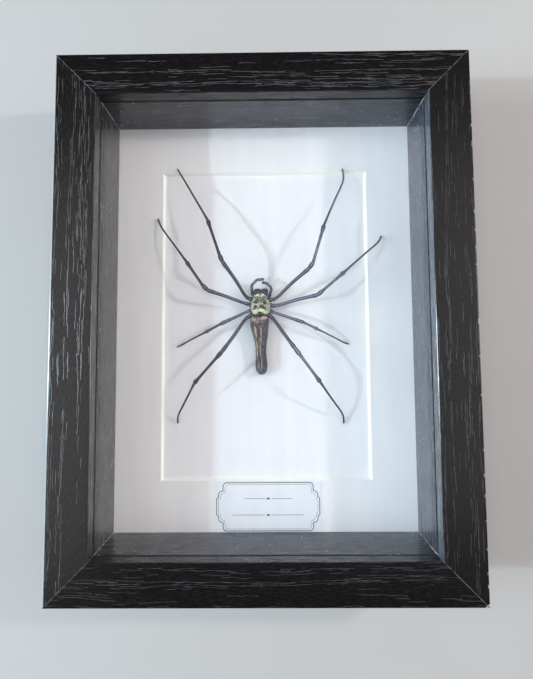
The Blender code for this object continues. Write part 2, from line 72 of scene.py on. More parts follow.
class Signal:
    """What comes out of a node. It adds, subtracts, multiplies and divides as a number does."""

    def __init__(self, nodes, socket):
        self.nodes, self.socket = nodes, socket

    def __add__(self, other):
        return self.nodes.maths("ADD", self, other)

    def __sub__(self, other):
        return self.nodes.maths("SUBTRACT", self, other)

    def __rsub__(self, other):
        return self.nodes.maths("SUBTRACT", other, self)

    def __mul__(self, other):
        return self.nodes.maths("MULTIPLY", self, other)

    def __truediv__(self, other):
        return self.nodes.maths("DIVIDE", self, other)

    def __rtruediv__(self, other):
        return self.nodes.maths("DIVIDE", other, self)

    def __abs__(self):
        return self.nodes.maths("ABSOLUTE", self)

    def ramp(self, low, high, to_low=0.0, to_high=1.0):
        """The signal smoothly mapped from one range to another."""
        inputs = {0: self, 1: low, 2: high, 3: to_low, 4: to_high}
        return self.nodes.take(0, "MapRange", inputs, interpolation_type="SMOOTHSTEP")

    def split(self):
        return [Signal(self.nodes, part) for part in self.nodes.add("SeparateXYZ", {0: self}).outputs]


class Nodes:
    """Lays out the nodes of one material, group or world."""

    def __init__(self, tree):
        self.tree = tree

    def feed(self, socket, value):
        """Links a signal to a socket, or sets its value. Colours are given without their alpha."""
        if isinstance(value, Signal):
            self.tree.links.new(value.socket, socket)
        elif socket.type == "RGBA":
            socket.default_value = (*value, 1)
        else:
            socket.default_value = value

    def add(self, kind, inputs=None, **settings):
        node = self.tree.nodes.new("ShaderNode" + kind)
        for name, value in settings.items():
            setattr(node, name, value)
        for name, value in (inputs or {}).items():
            self.feed(node.inputs[name], value)
        return node

    def signals(self, node):
        """Everything that comes out of a node, by name."""
        return {socket.name: Signal(self, socket) for socket in node.outputs}

    def take(self, output, kind, inputs=None, **settings):
        """Adds a node and takes one of its outputs."""
        return Signal(self, self.add(kind, inputs, **settings).outputs[output])

    def maths(self, operation, a, b=0.0):
        return self.take(0, "Math", {0: a, 1: b}, operation=operation)

    def vector(self, operation, a, b):
        return self.take(0, "VectorMath", {0: a, 1: b}, operation=operation)

    def scaled(self, vector, factor):
        return self.take(0, "VectorMath", {0: vector, "Scale": factor}, operation="SCALE")

    def length(self, vector):
        return self.take("Value", "VectorMath", {0: vector}, operation="LENGTH")

    def mapped(self, vector, scale=(1, 1, 1), shift=(0, 0, 0)):
        return self.take(0, "Mapping", {"Vector": vector, "Scale": scale, "Location": shift})

    def join(self, x, y, z):
        return self.take(0, "CombineXYZ", {0: x, 1: y, 2: z})

    def noise(self, vector, scale=1.0, detail=2.0, roughness=0.5):
        inputs = {"Vector": vector, "Scale": scale, "Detail": detail, "Roughness": roughness}
        return self.take(0, "TexNoise", inputs)

    def cells(self, vector, scale, randomness=1.0, **settings):
        """Everything that a Voronoi texture gives, by name."""
        inputs = {"Vector": vector, "Scale": scale, "Randomness": randomness}
        return self.signals(self.add("TexVoronoi", inputs, **settings))

    def blend(self, factor, a, b):
        """Two colours mixed."""
        return self.take(2, "Mix", {0: factor, 6: a, 7: b}, data_type="RGBA")

    def bump(self, height, distance, strength=1.0):
        return self.take(0, "Bump", {"Height": height, "Distance": distance, "Strength": strength})

    def place(self, group, **inputs):
        """Places a node group. Gives what comes out of it, by name."""
        made = self.tree.nodes.new("ShaderNodeGroup")
        made.node_tree = group
        for name, value in inputs.items():
            self.feed(made.inputs[name], value)
        return self.signals(made)


class Group(Nodes):
    """A new node group. Its inputs are numbers, or vectors where None is given."""

    def __init__(self, name, **inputs):
        super().__init__(bpy.data.node_groups.new(name, "ShaderNodeTree"))
        for label, value in inputs.items():
            kind = "NodeSocketVector" if value is None else "NodeSocketFloat"
            made = self.tree.interface.new_socket(name=label, in_out="INPUT", socket_type=kind)
            if value is not None:
                made.default_value = value
        self.given = self.signals(self.tree.nodes.new("NodeGroupInput"))

    def finish(self, **outputs):
        """Puts out the named numbers and gives the group."""
        for label in outputs:
            self.tree.interface.new_socket(name=label, in_out="OUTPUT", socket_type="NodeSocketFloat")
        end = self.tree.nodes.new("NodeGroupOutput")
        for label, value in outputs.items():
            self.feed(end.inputs[label], value)
        return self.tree


class Surface(Nodes):
    """A new material with its Principled BSDF, whose even values are given here."""

    def __init__(self, name, **even):
        self.made = bpy.data.materials.new(name)
        self.made.use_nodes = True
        super().__init__(self.made.node_tree)
        self.shader = self.tree.nodes["Principled BSDF"]
        self.where = self.take("Object", "TexCoord")
        self.finish(**even)

    def finish(self, **sockets):
        """Feeds sockets of the shader, named with _ for a space, and gives the material."""
        for label, value in sockets.items():
            self.feed(self.shader.inputs[label.replace("_", " ")], value)
        return self.made


def tinted(tone, tint):
    """A tint made as bright as the tone says."""
    return tuple(tone * part for part in tint)


def embossed_pores_group():
    """Open grain pressed into foil: short thin dashes along the rail, strung out in wavering rows."""
    group = Group("embossed_pores", Along=0.0, Across=0.0, Seed=0.0, Coverage=0.45)
    along, across, seed = (group.given[label] for label in ("Along", "Across", "Seed"))

    def drawn(on_length, on_width, width=across, shift=0.0):
        """The place on the rail, scaled along its length and across its width."""
        return group.join(along * on_length, width * on_width, seed + shift)

    sway = group.noise(drawn(22.0, 60.0), detail=1.0)
    waver = group.noise(drawn(230.0, 500.0))
    wavy = across + (sway - 0.5) * (4.0 * MM) + (waver - 0.5) * (1.0 * MM)
    rows = group.noise(drawn(5.0, 330.0, wavy, 9.0), detail=1.0)
    limit = rows.ramp(0.47, 0.60, 0.14, 1.5) * group.given["Coverage"]
    half_width = waver.ramp(0.3, 0.7, 0.02, 0.07)
    pores = 0.0
    for on_length, on_width, shift in ((150.0, 720.0, 0.0), (85.0, 900.0, 17.0)):
        place = drawn(on_length, on_width, wavy, shift)
        cell = group.cells(place, 1.0, 0.9, voronoi_dimensions="2D")
        away_mm = abs(group.vector("SUBTRACT", place, cell["Position"]).split()[1]) / (on_width * MM)
        dash = (away_mm - half_width).ramp(-0.04, 0.05, 1.0, 0.0)
        chosen = group.maths("LESS_THAN", cell["Color"].split()[0], limit)
        pores = group.maths("MAXIMUM", pores, dash * chosen)
    return group.finish(Pores=pores, Fine=group.noise(drawn(420.0, 2600.0)))


def dust_group():
    """Scattered pale specks of dust and lint."""
    group = Group("dust_specks", Vector=None, Cell=3 * MM, Amount=0.2, Size=0.08)
    cell = group.cells(group.given["Vector"], 1.0 / group.given["Cell"])
    near = (cell["Distance"] - group.given["Size"]).ramp(-0.03, 0.01, 1.0, 0.0)
    chosen = group.maths("LESS_THAN", cell["Color"].split()[0], group.given["Amount"])
    return group.finish(Specks=near * chosen)


def paper_fibre_group():
    """Fine felted relief of card and paper, with a faint cloudiness."""
    group = Group("paper_fibre", Vector=None, Fineness=2500.0)
    fine = group.noise(group.given["Vector"], group.given["Fineness"], 3.0, 0.6)
    laid = group.mapped(group.given["Vector"], (420.0, 60.0, 420.0))
    return group.finish(Relief=fine + group.noise(laid) * 0.6, Cloud=group.noise(laid, 0.35))


def soft_spot_group():
    """1 inside an oval spot and 0 outside it, with a soft edge. The vector and the spot are in the same units."""
    group = Group("soft_spot", Vector=None, Centre=None, Size=None, Softness=0.3)
    away = group.vector("SUBTRACT", group.given["Vector"], group.given["Centre"])
    reach = group.length(group.vector("DIVIDE", away, group.given["Size"]))
    softness = group.given["Softness"]
    return group.finish(Spot=reach.ramp(1.0 - softness, softness + 1.0, 1.0, 0.0))


def cuticle_group():
    """Relief of dry arthropod skin, pitted and wrinkled, and a fine mottle."""
    group = Group("dry_cuticle", Vector=None, Pit=0.25)
    place, scale = group.given["Vector"], 1.0 / group.given["Pit"]
    relief = group.cells(place, scale)["Distance"] * 0.6 + group.noise(place, scale * 0.35, 3.0, 0.6)
    return group.finish(Relief=relief, Mottle=group.noise(place, scale * 0.5, 4.0, 0.65))


PORES = embossed_pores_group()
DUST = dust_group()
FIBRE = paper_fibre_group()
SPOT = soft_spot_group()
CUTICLE = cuticle_group()

FOIL_TONE = 0.0095
FOIL_TINT = (1.0, 0.84, 0.86)
# The chip at a lower corner of the frame
CHIP = {"Centre": (89.8 * MM, -116.3 * MM, 44.8 * MM), "Size": (1.6 * MM, 1.4 * MM, 1.6 * MM), "Softness": 0.2}


def woodgrain_foil(name, runs_along_x, seed, coverage, pore_highlight, shine, contrast=0.0055):
    """Black foil pressed with open wood grain, which runs along the rail and round its outer edge."""
    foil = Surface(name, Specular_IOR_Level=shine)
    x, y, z = foil.where.split()
    along, side = (x, y) if runs_along_x else (y, x)
    grain = foil.place(PORES, Along=along, Across=side + z, Seed=seed, Coverage=coverage)
    dark, light = (tinted(FOIL_TONE + contrast * share, FOIL_TINT) for share in (-0.8, 1.1))
    colour = foil.blend(grain["Fine"].ramp(0.46, 0.70), dark, light)
    # painted highlight: the pale pore colour stands for light caught in the embossed grain, and is set per rail by
    # how the light fell on it
    colour = foil.blend(grain["Pores"], colour, tinted(pore_highlight, (1.0, 0.97, 0.99)))
    # painted highlight: a pale blue-white line along the outer arris stands for the window light caught on the
    # rounded edge, a steady line on the left rail and dashes on the right one
    arris = abs(x).ramp(WIDTH / 2 - 0.9 * MM, WIDTH / 2 - 0.5 * MM) * z.ramp(DEPTH - 0.8 * MM, DEPTH - 0.4 * MM)
    dashes = foil.noise(foil.join(0.0, y * 210.0, 0.0), 1.0, 3.0, 0.6)
    painted_arris_highlight = arris * (dashes - x.ramp(-80 * MM, 80 * MM, 0.22, 0.56)).ramp(0.0, 0.06)
    colour = foil.blend(painted_arris_highlight * 0.8, colour, (0.50, 0.56, 0.62))
    chip = foil.place(SPOT, Vector=foil.where, **CHIP)["Spot"]
    return foil.finish(
        Base_Color=foil.blend(chip, colour, (0.80, 0.76, 0.70)),
        Roughness=grain["Pores"].ramp(0, 1, 0.26, 0.55),
        Normal=foil.bump(grain["Fine"] * 0.22 - grain["Pores"], 0.08 * MM),
    )


def smooth_foil(name, black, dust, shine, roughness=0.24, tint=(1.0, 1.0, 1.03)):
    """The plain black wrap of the sight edge and the spacers, drawn lengthways, with a little dust on it."""
    foil = Surface(name, Specular_IOR_Level=shine)
    drawn = foil.noise(foil.mapped(foil.where, (70, 70, 2600)), 1.0, 3.0)
    amount = foil.where.split()[2].ramp(24 * MM, 14 * MM, dust * 0.4, dust)
    specks = foil.place(DUST, Vector=foil.where, Cell=2.0 * MM, Amount=amount, Size=0.14)["Specks"]
    base = foil.blend(drawn.ramp(0.38, 0.66), tinted(black * 0.5, tint), tinted(black * 1.6, tint))
    return foil.finish(
        Base_Color=foil.blend(specks, base, (0.74, 0.75, 0.75)),
        Roughness=drawn.ramp(0.3, 0.7, roughness - 0.06, roughness + 0.08),
        Normal=foil.bump(drawn + specks, 0.03 * MM, 0.6),
    )


def mitre_edge(name, bright):
    """The raw cut edge of the foil at a mitre, a thin broken pale line."""
    edge = Surface(name, Roughness=0.6)
    broken = edge.noise(edge.where, 420.0, 3.0).ramp(0.36, 0.58)
    return edge.finish(Base_Color=edge.blend(broken, (0.02, 0.02, 0.02), tinted(bright, (1.0, 1.0, 0.98))))


def fibreboard(name, dark, light, fineness=1800.0):
    """Raw fibreboard, felted and slightly mottled."""
    board = Surface(name, Roughness=0.8)
    fibre = board.place(FIBRE, Vector=board.where, Fineness=fineness)
    tone = (fibre["Relief"] + fibre["Cloud"]) * 0.45
    return board.finish(
        Base_Color=board.blend(tone.ramp(0.3, 0.75), dark, light),
        Normal=board.bump(fibre["Relief"], 0.06 * MM),
    )


def white_paper(name, colour, roughness, relief, dust=0.0):
    """Matt white card or paper."""
    paper = Surface(name, Roughness=roughness)
    fibre = paper.place(FIBRE, Vector=paper.where, Fineness=2600.0)
    white = paper.blend(fibre["Cloud"].ramp(0.3, 0.7), tinted(0.965, colour), colour)
    if dust:
        specks = paper.place(DUST, Vector=paper.where, Cell=6 * MM, Amount=dust, Size=0.035)["Specks"]
        white = paper.blend(specks, white, (0.22, 0.21, 0.20))
    return paper.finish(Base_Color=white, Normal=paper.bump(fibre["Relief"], relief))


def clear_glass(name):
    """Picture glass. Light from the lamps passes it straight, so that the inside is lit."""
    glass = Surface(name, Roughness=0.0, IOR=1.5, Transmission_Weight=1.0, Base_Color=(0.995, 1.0, 0.998))
    lamps = glass.take("Is Shadow Ray", "LightPath")
    clear = glass.take(0, "BsdfTransparent")
    mixed = glass.take(0, "MixShader", {0: lamps, 1: Signal(glass, glass.shader.outputs[0]), 2: clear})
    glass.feed(glass.tree.nodes["Material Output"].inputs["Surface"], mixed)
    return glass.made


def zinc_steel(name):
    """Bright zinc-plated steel with a drawn grain."""
    steel = Surface(name, Metallic=1.0)
    drawn = steel.noise(steel.mapped(steel.where, (300, 3200, 3200)), 1.0, 3.0)
    return steel.finish(
        Base_Color=steel.blend(drawn, (0.50, 0.50, 0.52), (0.70, 0.70, 0.71)),
        Roughness=drawn.ramp(0.3, 0.7, 0.26, 0.42),
        Normal=steel.bump(drawn, 0.01 * MM),
    )


def printing_ink(name):
    """Slightly patchy black ink."""
    ink = Surface(name, Roughness=0.5)
    patchy = ink.noise(ink.where, 5200.0)
    return ink.finish(Base_Color=ink.blend(patchy, (0.012, 0.012, 0.016), (0.035, 0.035, 0.042)))


def in_mm(skin):
    """The place on the spider in mm from the middle of its carapace."""
    return skin.scaled(skin.vector("SUBTRACT", skin.where, SPIDER_ORIGIN), 1000.0)


def black_limb(name, dark, highlight_colour, roughness):
    """Black skin of the legs, feelers and jaws, with a dull blue-grey highlight painted where it faces up.

    The mesh's "upper" is 1 where its skin faces up and 0 where it doesn't. The painted highlight fades away from the
    body, sooner on the left side than on the right, where less light fell on the legs.
    """
    limb = Surface(name, Specular_IOR_Level=0.22)
    place = in_mm(limb)
    skin = limb.place(CUTICLE, Vector=place, Pit=0.3)
    upper = limb.take("Fac", "Attribute", attribute_name="upper")
    reach = limb.length(place)
    # painted light: the highlight reaches farther out and is a quarter brighter on the right-hand legs, which the
    # left window lit
    on_right = limb.where.split()[0].ramp(0.0, 8 * MM)
    far_right = on_right * reach.ramp(38.0, 52.0, 0.70, 0.22)
    tone = upper.ramp(0.76, 0.98) * skin["Mottle"].ramp(0.40, 0.62, 0.45, 1.0)
    tone = tone * limb.maths("MAXIMUM", reach.ramp(12.0, 40.0, 1.0, 0.10), far_right)
    tone = tone * on_right.ramp(0.0, 1.0, 1.0, 1.25)
    return limb.finish(
        Base_Color=limb.blend(tone, dark, highlight_colour),
        Roughness=skin["Mottle"].ramp(0.3, 0.7, roughness - 0.06, roughness + 0.12),
        Normal=limb.bump(skin["Relief"], 0.02 * MM),
    )


def shaken(skin, place, scale, amount):
    """The place moved about by noise, which makes the edges of a marking ragged."""
    cloud = skin.take("Color", "TexNoise", {"Vector": place, "Scale": scale, "Detail": 3.0})
    return skin.vector("ADD", skin.scaled(skin.vector("SUBTRACT", cloud, (0.5, 0.5, 0.5)), amount), place)


def painted(skin, colour, place, marks, softness):
    """Oval spots painted over a colour, in order, on the upper side of the body."""
    for x, y, width, length, paint, strength in marks:
        oval = {"Centre": (x, y, 6.5), "Size": (width, length, 6.0), "Softness": softness}
        colour = skin.blend(skin.place(SPOT, Vector=place, **oval)["Spot"] * strength, colour, paint)
    return colour


CREAM = (0.78, 0.78, 0.56)
YELLOW_GREEN = (0.72, 0.77, 0.38)
OLIVE_YELLOW = (0.47, 0.47, 0.31)
OLIVE_GREY = (0.36, 0.36, 0.30)
DARK_OLIVE = (0.055, 0.058, 0.040)
BARE_BLACK = (0.005, 0.005, 0.007)
TAN = (0.50, 0.35, 0.20)
PALE_TAN = (0.58, 0.50, 0.38)
GOLD = (0.60, 0.46, 0.27)
DARK_BROWN = (0.040, 0.028, 0.026)
MAUVE_BROWN = (0.155, 0.115, 0.110)

# Markings of the body in mm: x, y, half width, half length, colour and strength
DOWN_MARKS = (
    (0.4, 2.5, 2.8, 1.35, DARK_OLIVE, 0.75),
    (-3.1, 2.5, 0.6, 0.8, OLIVE_YELLOW, 0.9),
    (-1.9, 4.6, 1.15, 0.75, CREAM, 1.0),
    (-0.9, 4.2, 0.9, 0.5, CREAM, 0.7),
    (1.6, 4.55, 1.1, 0.65, CREAM, 0.8),
    (0.6, 4.1, 0.8, 0.45, CREAM, 0.6),
    (0.0, 4.6, 0.25, 0.4, DARK_OLIVE, 0.75),
    (-1.85, 3.15, 0.35, 0.3, CREAM, 0.75),
    (-3.9, -0.4, 1.3, 2.9, OLIVE_YELLOW, 0.9),
    (-3.6, -0.1, 0.5, 0.8, CREAM, 0.6),
    (3.6, -0.8, 1.0, 2.7, OLIVE_YELLOW, 0.75),
    (4.4, -0.8, 0.4, 2.2, OLIVE_GREY, 0.8),
    (-1.3, 0.1, 0.5, 1.1, YELLOW_GREEN, 0.75),
    (-2.6, 0.35, 0.35, 0.3, CREAM, 0.8),
    (0.9, 0.4, 0.6, 0.5, PALE_TAN, 0.55),
    (-2.5, -3.2, 1.5, 1.15, YELLOW_GREEN, 1.0),
    (0.3, -2.7, 1.6, 0.7, YELLOW_GREEN, 0.95),
    (2.4, -3.5, 1.5, 0.75, YELLOW_GREEN, 0.65),
    (0.0, 1.3, 0.3, 0.3, DARK_OLIVE, 0.8),
    (-1.9, -2.95, 0.3, 0.25, OLIVE_GREY, 0.8),
)
BARE_MARKS = (
    (-1.7, 2.6, 0.75, 0.35, BARE_BLACK, 0.6),
    (-2.15, 1.1, 0.95, 0.70, BARE_BLACK, 1.0),
    (1.95, 1.0, 0.80, 1.00, BARE_BLACK, 1.0),
    (-2.3, -0.8, 0.95, 0.45, BARE_BLACK, 1.0),
    (-2.85, -1.8, 0.50, 0.85, BARE_BLACK, 0.85),
    (0.5, -1.0, 1.15, 0.50, BARE_BLACK, 1.0),
    (1.9, -1.75, 0.95, 0.55, BARE_BLACK, 1.0),
    (-0.3, -3.9, 0.95, 0.60, BARE_BLACK, 1.0),
    (3.3, 0.4, 0.45, 0.35, BARE_BLACK, 0.6),
    (3.4, -1.3, 0.35, 0.50, BARE_BLACK, 0.5),
    (-0.3, -5.3, 5.2, 0.85, BARE_BLACK, 1.0),
)
ABDOMEN_MARKS = (
    (-0.4, -7.6, 3.4, 1.6, MAUVE_BROWN, 0.85),
    (-0.6, -9.4, 3.4, 0.8, DARK_BROWN, 0.65),
    (-3.6, -9.0, 0.9, 1.2, DARK_BROWN, 0.6),
    (2.3, -8.8, 1.2, 1.3, DARK_BROWN, 0.75),
    (-3.7, -6.4, 1.3, 0.7, PALE_TAN, 0.95),
    (-2.8, -7.3, 1.1, 0.75, TAN, 0.9),
    (2.1, -6.1, 1.5, 0.65, PALE_TAN, 0.9),
    (1.2, -6.8, 1.3, 0.55, TAN, 0.8),
    (-0.8, -7.0, 1.3, 0.5, TAN, 0.6),
    (-1.6, -8.3, 0.3, 0.25, PALE_TAN, 0.5),
    (-0.7, -5.0, 4.9, 0.85, BARE_BLACK, 1.0),
)
# Long lines on the abdomen: place across it, half width, colour and strength
BACK_LINES = (
    (-0.54, 0.070, GOLD, 0.88),
    (0.11, 0.050, GOLD, 0.64),
    (-0.27, 0.09, DARK_BROWN, 1.0),
    (0.32, 0.07, DARK_BROWN, 1.0),
)


def carapace_skin(name):
    """Dark shield under yellow-green down, with bare black spots."""
    shield = Surface(name, Specular_IOR_Level=0.15)
    place = in_mm(shield)
    _, along, height = place.split()
    skin = shield.place(CUTICLE, Vector=place, Pit=0.3)
    patchy = shield.noise(place, 0.85, 3.0, 0.6)
    fine = shield.noise(shield.mapped(place, shift=(7, 3, 1)), 1.5, 3.0, 0.7)
    ragged = shaken(shield, place, 1.5, 1.3)
    colour = shield.blend(patchy.ramp(0.46, 0.54), DARK_OLIVE, OLIVE_GREY)
    colour = painted(shield, colour, ragged, DOWN_MARKS, 0.10)
    colour = shield.blend(fine.ramp(0.54, 0.60) * 0.46, colour, CREAM)
    worn = along.ramp(3.4, 4.2, 0.80, 0.25) * along.ramp(-1.8, -2.5, 1.0, 0.5)
    colour = shield.blend(fine.ramp(0.48, 0.42) * worn, colour, DARK_OLIVE)
    colour = painted(shield, colour, ragged, BARE_MARKS, 0.10)
    return shield.finish(
        Base_Color=shield.blend(height.ramp(3.0, 4.6), BARE_BLACK, colour),
        Roughness=skin["Mottle"].ramp(0.35, 0.65, 0.45, 0.75),
        Normal=shield.bump(skin["Relief"], 0.06 * MM),
    )


def abdomen_skin(name):
    """Shrunken brown skin with two golden lines along the back, pale shoulders and slate flanks; the slate on the
    right flank is partly its own colour and partly painted shade.

    The mesh's "across" runs from -1 at its left edge to 1 at its right edge.
    """
    back = Surface(name, Specular_IOR_Level=0.25)
    place = in_mm(back)
    along = place.split()[1]
    across = back.take("Fac", "Attribute", attribute_name="across")
    skin = back.place(CUTICLE, Vector=place, Pit=0.35)
    stretched = back.mapped(place, (1.15, 0.20, 1.15))
    threads = back.noise(stretched, 0.85, 3.0, 0.65)
    cloudy = back.noise(place, 0.75, 3.0, 0.65)
    track = across + (back.noise(stretched, 0.6) - 0.5) * 0.15 + along.ramp(-21.0, -10.0, 0.13, -0.06)
    slate = back.blend(cloudy.ramp(0.44, 0.58), (0.006, 0.007, 0.011), (0.088, 0.116, 0.165))
    brown = back.blend(threads.ramp(0.46, 0.53), (0.007, 0.006, 0.008), (0.230, 0.168, 0.138))
    margin = back.blend(threads.ramp(0.46, 0.53), (0.006, 0.006, 0.008), (0.210, 0.185, 0.135))
    # slate on the right flank: partly the skin's own colour, partly painted shade
    right_flank_slate_and_shade = track.ramp(0.36, 0.46) * along.ramp(-10.5, -13.0, 0.35, 1.0)
    colour = back.blend(right_flank_slate_and_shade, brown, slate)
    colour = back.blend(track.ramp(-0.68, -0.76), colour, margin)
    for middle, width, paint, strength in BACK_LINES:
        line = abs(track - middle).ramp(width * 0.6, width * 1.5, 1.0, 0.0) * strength
        line = line * along.ramp(-30.0, -22.0, 0.35, 1.0) * along.ramp(-9.0, -10.5)
        colour = back.blend(line * threads.ramp(0.36, 0.52, 0.2, 1.0), colour, paint)
    edge = abs(track + 0.1) + along.ramp(-18.0, -28.0, 0.0, 0.42)
    dark_edge = edge.ramp(0.80, 0.92) * along.ramp(-8.0, -10.0, 0.4, 1.0)
    colour = back.blend(dark_edge, colour, (0.014, 0.018, 0.026))
    colour = back.blend(along.ramp(-29.5, -31.0), colour, slate)
    colour = painted(back, colour, shaken(back, place, 1.2, 1.0), ABDOMEN_MARKS, 0.2)
    return back.finish(
        Base_Color=back.blend(cloudy.ramp(0.49, 0.42) * 0.75, colour, (0.012, 0.011, 0.013)),
        Roughness=threads.ramp(0.3, 0.7, 0.40, 0.66),
        Normal=back.bump(skin["Relief"] * 0.5 + threads, 0.12 * MM),
    )


# Mesh building


def piece(name, bm, materials, nodes=(), smooth=False):
    """Makes a bmesh a piece of the object, which stands for CAD nodes if they are named."""
    mesh = bpy.data.meshes.new(name)
    bm.to_mesh(mesh)
    bm.free()
    for one in materials:
        mesh.materials.append(one)
    if smooth:
        mesh.shade_smooth()
    made = bpy.data.objects.new(name, mesh)
    bpy.context.scene.collection.objects.link(made)
    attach(made, "root")
    if nodes:
        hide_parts(*nodes)


def face_outwards(bm):
    bmesh.ops.recalc_face_normals(bm, faces=bm.faces)


def bevelled(bm, edges, size, segments):
    bmesh.ops.bevel(
        bm, geom=edges, offset=size, affect="EDGES", segments=segments, profile=0.5, material=-1, clamp_overlap=True
    )


def block(low, high, edge=0.0):
    """A bmesh of a block between two corners, with small bevelled edges."""
    low, high = Vector(low), Vector(high)
    bm = bmesh.new()
    bmesh.ops.create_cube(bm, size=1.0)
    bmesh.ops.scale(bm, vec=high - low, verts=bm.verts)
    bmesh.ops.translate(bm, vec=(low + high) / 2, verts=bm.verts)
    if edge:
        bevelled(bm, bm.edges[:], edge, 2)
    return bm


def sheet(bottom, top, edge):
    """A block as wide and high as all the sheets in the rabbet."""
    return block((-SHEET_WIDTH / 2, -SHEET_HEIGHT / 2, bottom), (SHEET_WIDTH / 2, SHEET_HEIGHT / 2, top), edge)


def flat_face(bm, points):
    return bm.faces.new([bm.verts.new(point) for point in points])


def extrude(bm, faces, offset):
    """Pulls faces out by an offset, with walls behind them."""
    made = bmesh.ops.extrude_face_region(bm, geom=faces)["geom"]
    bmesh.ops.translate(bm, vec=offset, verts=[one for one in made if isinstance(one, bmesh.types.BMVert)])


def cut_through(bm, place, direction, clear_outer=False):
    everything = bm.verts[:] + bm.edges[:] + bm.faces[:]
    bmesh.ops.bisect_plane(bm, geom=everything, plane_co=place, plane_no=direction, clear_outer=clear_outer)


def cone(bm, form, radius, far_radius, depth, segments):
    bmesh.ops.create_cone(
        bm, cap_ends=True, segments=segments, radius1=radius, radius2=far_radius, depth=depth, matrix=form
    )


def ball(bm, place, radius, segments, rings, slot=0, stretch=(1, 1, 1)):
    form = Matrix.Translation(place) @ Matrix.Diagonal((*stretch, 1))
    made = bmesh.ops.create_uvsphere(bm, u_segments=segments, v_segments=rings, radius=radius, matrix=form)["verts"]
    for face in {face for vert in made for face in vert.link_faces}:
        face.material_index = slot


def turned_along(direction):
    return Vector(direction).to_track_quat("Z", "Y").to_matrix().to_4x4()


def loft(bm, rings, segments, squareness=1.0):
    """Bridges oval rings into a form closed at both ends. A ring is (centre, direction, half width, half height).

    A squareness below 1 pushes the rings out towards rectangles.
    """
    before, first = [], None
    for centre, direction, half_width, half_height in rings:
        form = Matrix.Translation(centre) @ turned_along(direction) @ Matrix.Diagonal((half_width, half_height, 1, 1))
        ring = bmesh.ops.create_circle(bm, radius=1.0, segments=segments)["verts"]
        for vert in ring:
            x, y = (math.copysign(abs(part) ** squareness, part) for part in vert.co.xy)
            vert.co = form @ Vector((x, y, 0))
        edges = list({edge for vert in ring for edge in vert.link_edges})
        if before:
            bmesh.ops.bridge_loops(bm, edges=before + edges)
        else:
            first = edges
        before = edges
    bmesh.ops.holes_fill(bm, edges=first + before, sides=0)


def rings_along(path):
    """Rings for a loft through (place, half width, half height), each turned along the path."""
    places = [place for place, _, _ in path]
    aheads = [after - before for before, after in zip(places[:1] + places, places[1:] + places[-1:])]
    return [(place, ahead, width, height) for (place, width, height), ahead in zip(path, aheads)]


def rounded(bm, levels):
    """The bmesh after Subdivision Surface."""
    mesh = bpy.data.meshes.new("rounding")
    bm.to_mesh(mesh)
    bm.free()
    shape = bpy.data.objects.new("rounding", mesh)
    bpy.context.scene.collection.objects.link(shape)
    modifier = shape.modifiers.new("rounding", "SUBSURF")
    modifier.levels = modifier.render_levels = levels
    finer = bmesh.new()
    finer.from_object(shape, bpy.context.evaluated_depsgraph_get())
    bpy.data.objects.remove(shape)
    bpy.data.meshes.remove(mesh)
    return finer


def merged(whole, *parts):
    """Several bmeshes made one."""
    for part in parts:
        mesh = bpy.data.meshes.new("merging")
        part.to_mesh(mesh)
        part.free()
        whole.from_mesh(mesh)
        bpy.data.meshes.remove(mesh)
    return whole


# The frame


def sides(width, height):
    """Name, quarter turns, outer length and distance from the centre, for the four sides of a frame."""
    return (
        ("bottom", 0, width, height / 2),
        ("right", 1, height, width / 2),
        ("top", 2, width, height / 2),
        ("left", 3, height, width / 2),
    )


def on_side(bm, quarter_turns, distance):
    bmesh.ops.translate(bm, vec=(0, -distance, 0), verts=bm.verts)
    bmesh.ops.rotate(bm, matrix=Matrix.Rotation(quarter_turns * math.pi / 2, 3, "Z"), verts=bm.verts)


def moulding(profile, length, radii):
    """A strip along X from a cross-section of (inward, up) points. radii maps a point's number to its radius."""
    bm = bmesh.new()
    half = length / 2 + MM
    extrude(bm, [flat_face(bm, [(-half, inward, up) for inward, up in profile])], (2 * half, 0, 0))
    bm.normal_update()
    for number, radius in radii.items():
        inward, up = profile[number]
        chosen = [
            edge for edge in bm.edges
            if all(abs(vert.co.y - inward) < 1e-6 and abs(vert.co.z - up) < 1e-6 for vert in edge.verts)
        ]
        bevelled(bm, chosen, radius, 5)
    face_outwards(bm)
    return bm


def mitre(bm, length, edge_slot):
    """Cuts both ends of a strip at 45 degrees. The faces beside each cut get the material of the raw edge."""
    for end in (-1, 1):
        for inset in (0.0, MITRE_LINE):
            place = (end * (length / 2 - (MITRE_GAP + inset) * math.sqrt(2)), 0, 0)
            cut_through(bm, place, (end, 1, 0), clear_outer=inset == 0.0)
            bmesh.ops.holes_fill(bm, edges=[edge for edge in bm.edges if edge.is_boundary], sides=0)
        for face in bm.faces:
            middle = face.calc_center_median()
            if (length / 2 - end * middle.x - middle.y) / math.sqrt(2) < MITRE_GAP + MITRE_LINE:
                face.material_index = edge_slot


def mitred_strips(width, height, profile, radii, slot_at, edge_slot):
    """The name and bmesh of each of four strips that make a frame. slot_at gives a face's material by its middle."""
    for name, turns, length, distance in sides(width, height):
        bm = moulding(profile, length, radii)
        for face in bm.faces:
            face.material_index = slot_at(face.calc_center_median())
        mitre(bm, length, edge_slot)
        on_side(bm, turns, distance)
        yield name, bm


def build_rails(foils, lips, edge, raw):
    profile = [
        (0, 0), (RABBET_WALL, 0), (RABBET_WALL, SHOULDER), (FACE_WIDTH, SHOULDER), (FACE_WIDTH, DEPTH), (0, DEPTH),
    ]
    radii = {0: 0.3 * MM, 4: 0.5 * MM, 5: 0.8 * MM}

    def slot_at(middle):
        if middle.y > FACE_WIDTH - 0.3 * MM and middle.z < DEPTH - 0.15 * MM:
            return 1
        return 3 if middle.z < SHOULDER + 0.1 * MM and middle.y > 0.3 * MM else 0

    for name, bm in mitred_strips(WIDTH, HEIGHT, profile, radii, slot_at, 2):
        finishes = (foils[name], lips[name], edge, raw)
        piece("rail_" + name, bm, finishes, ("frame_rail_" + name,))


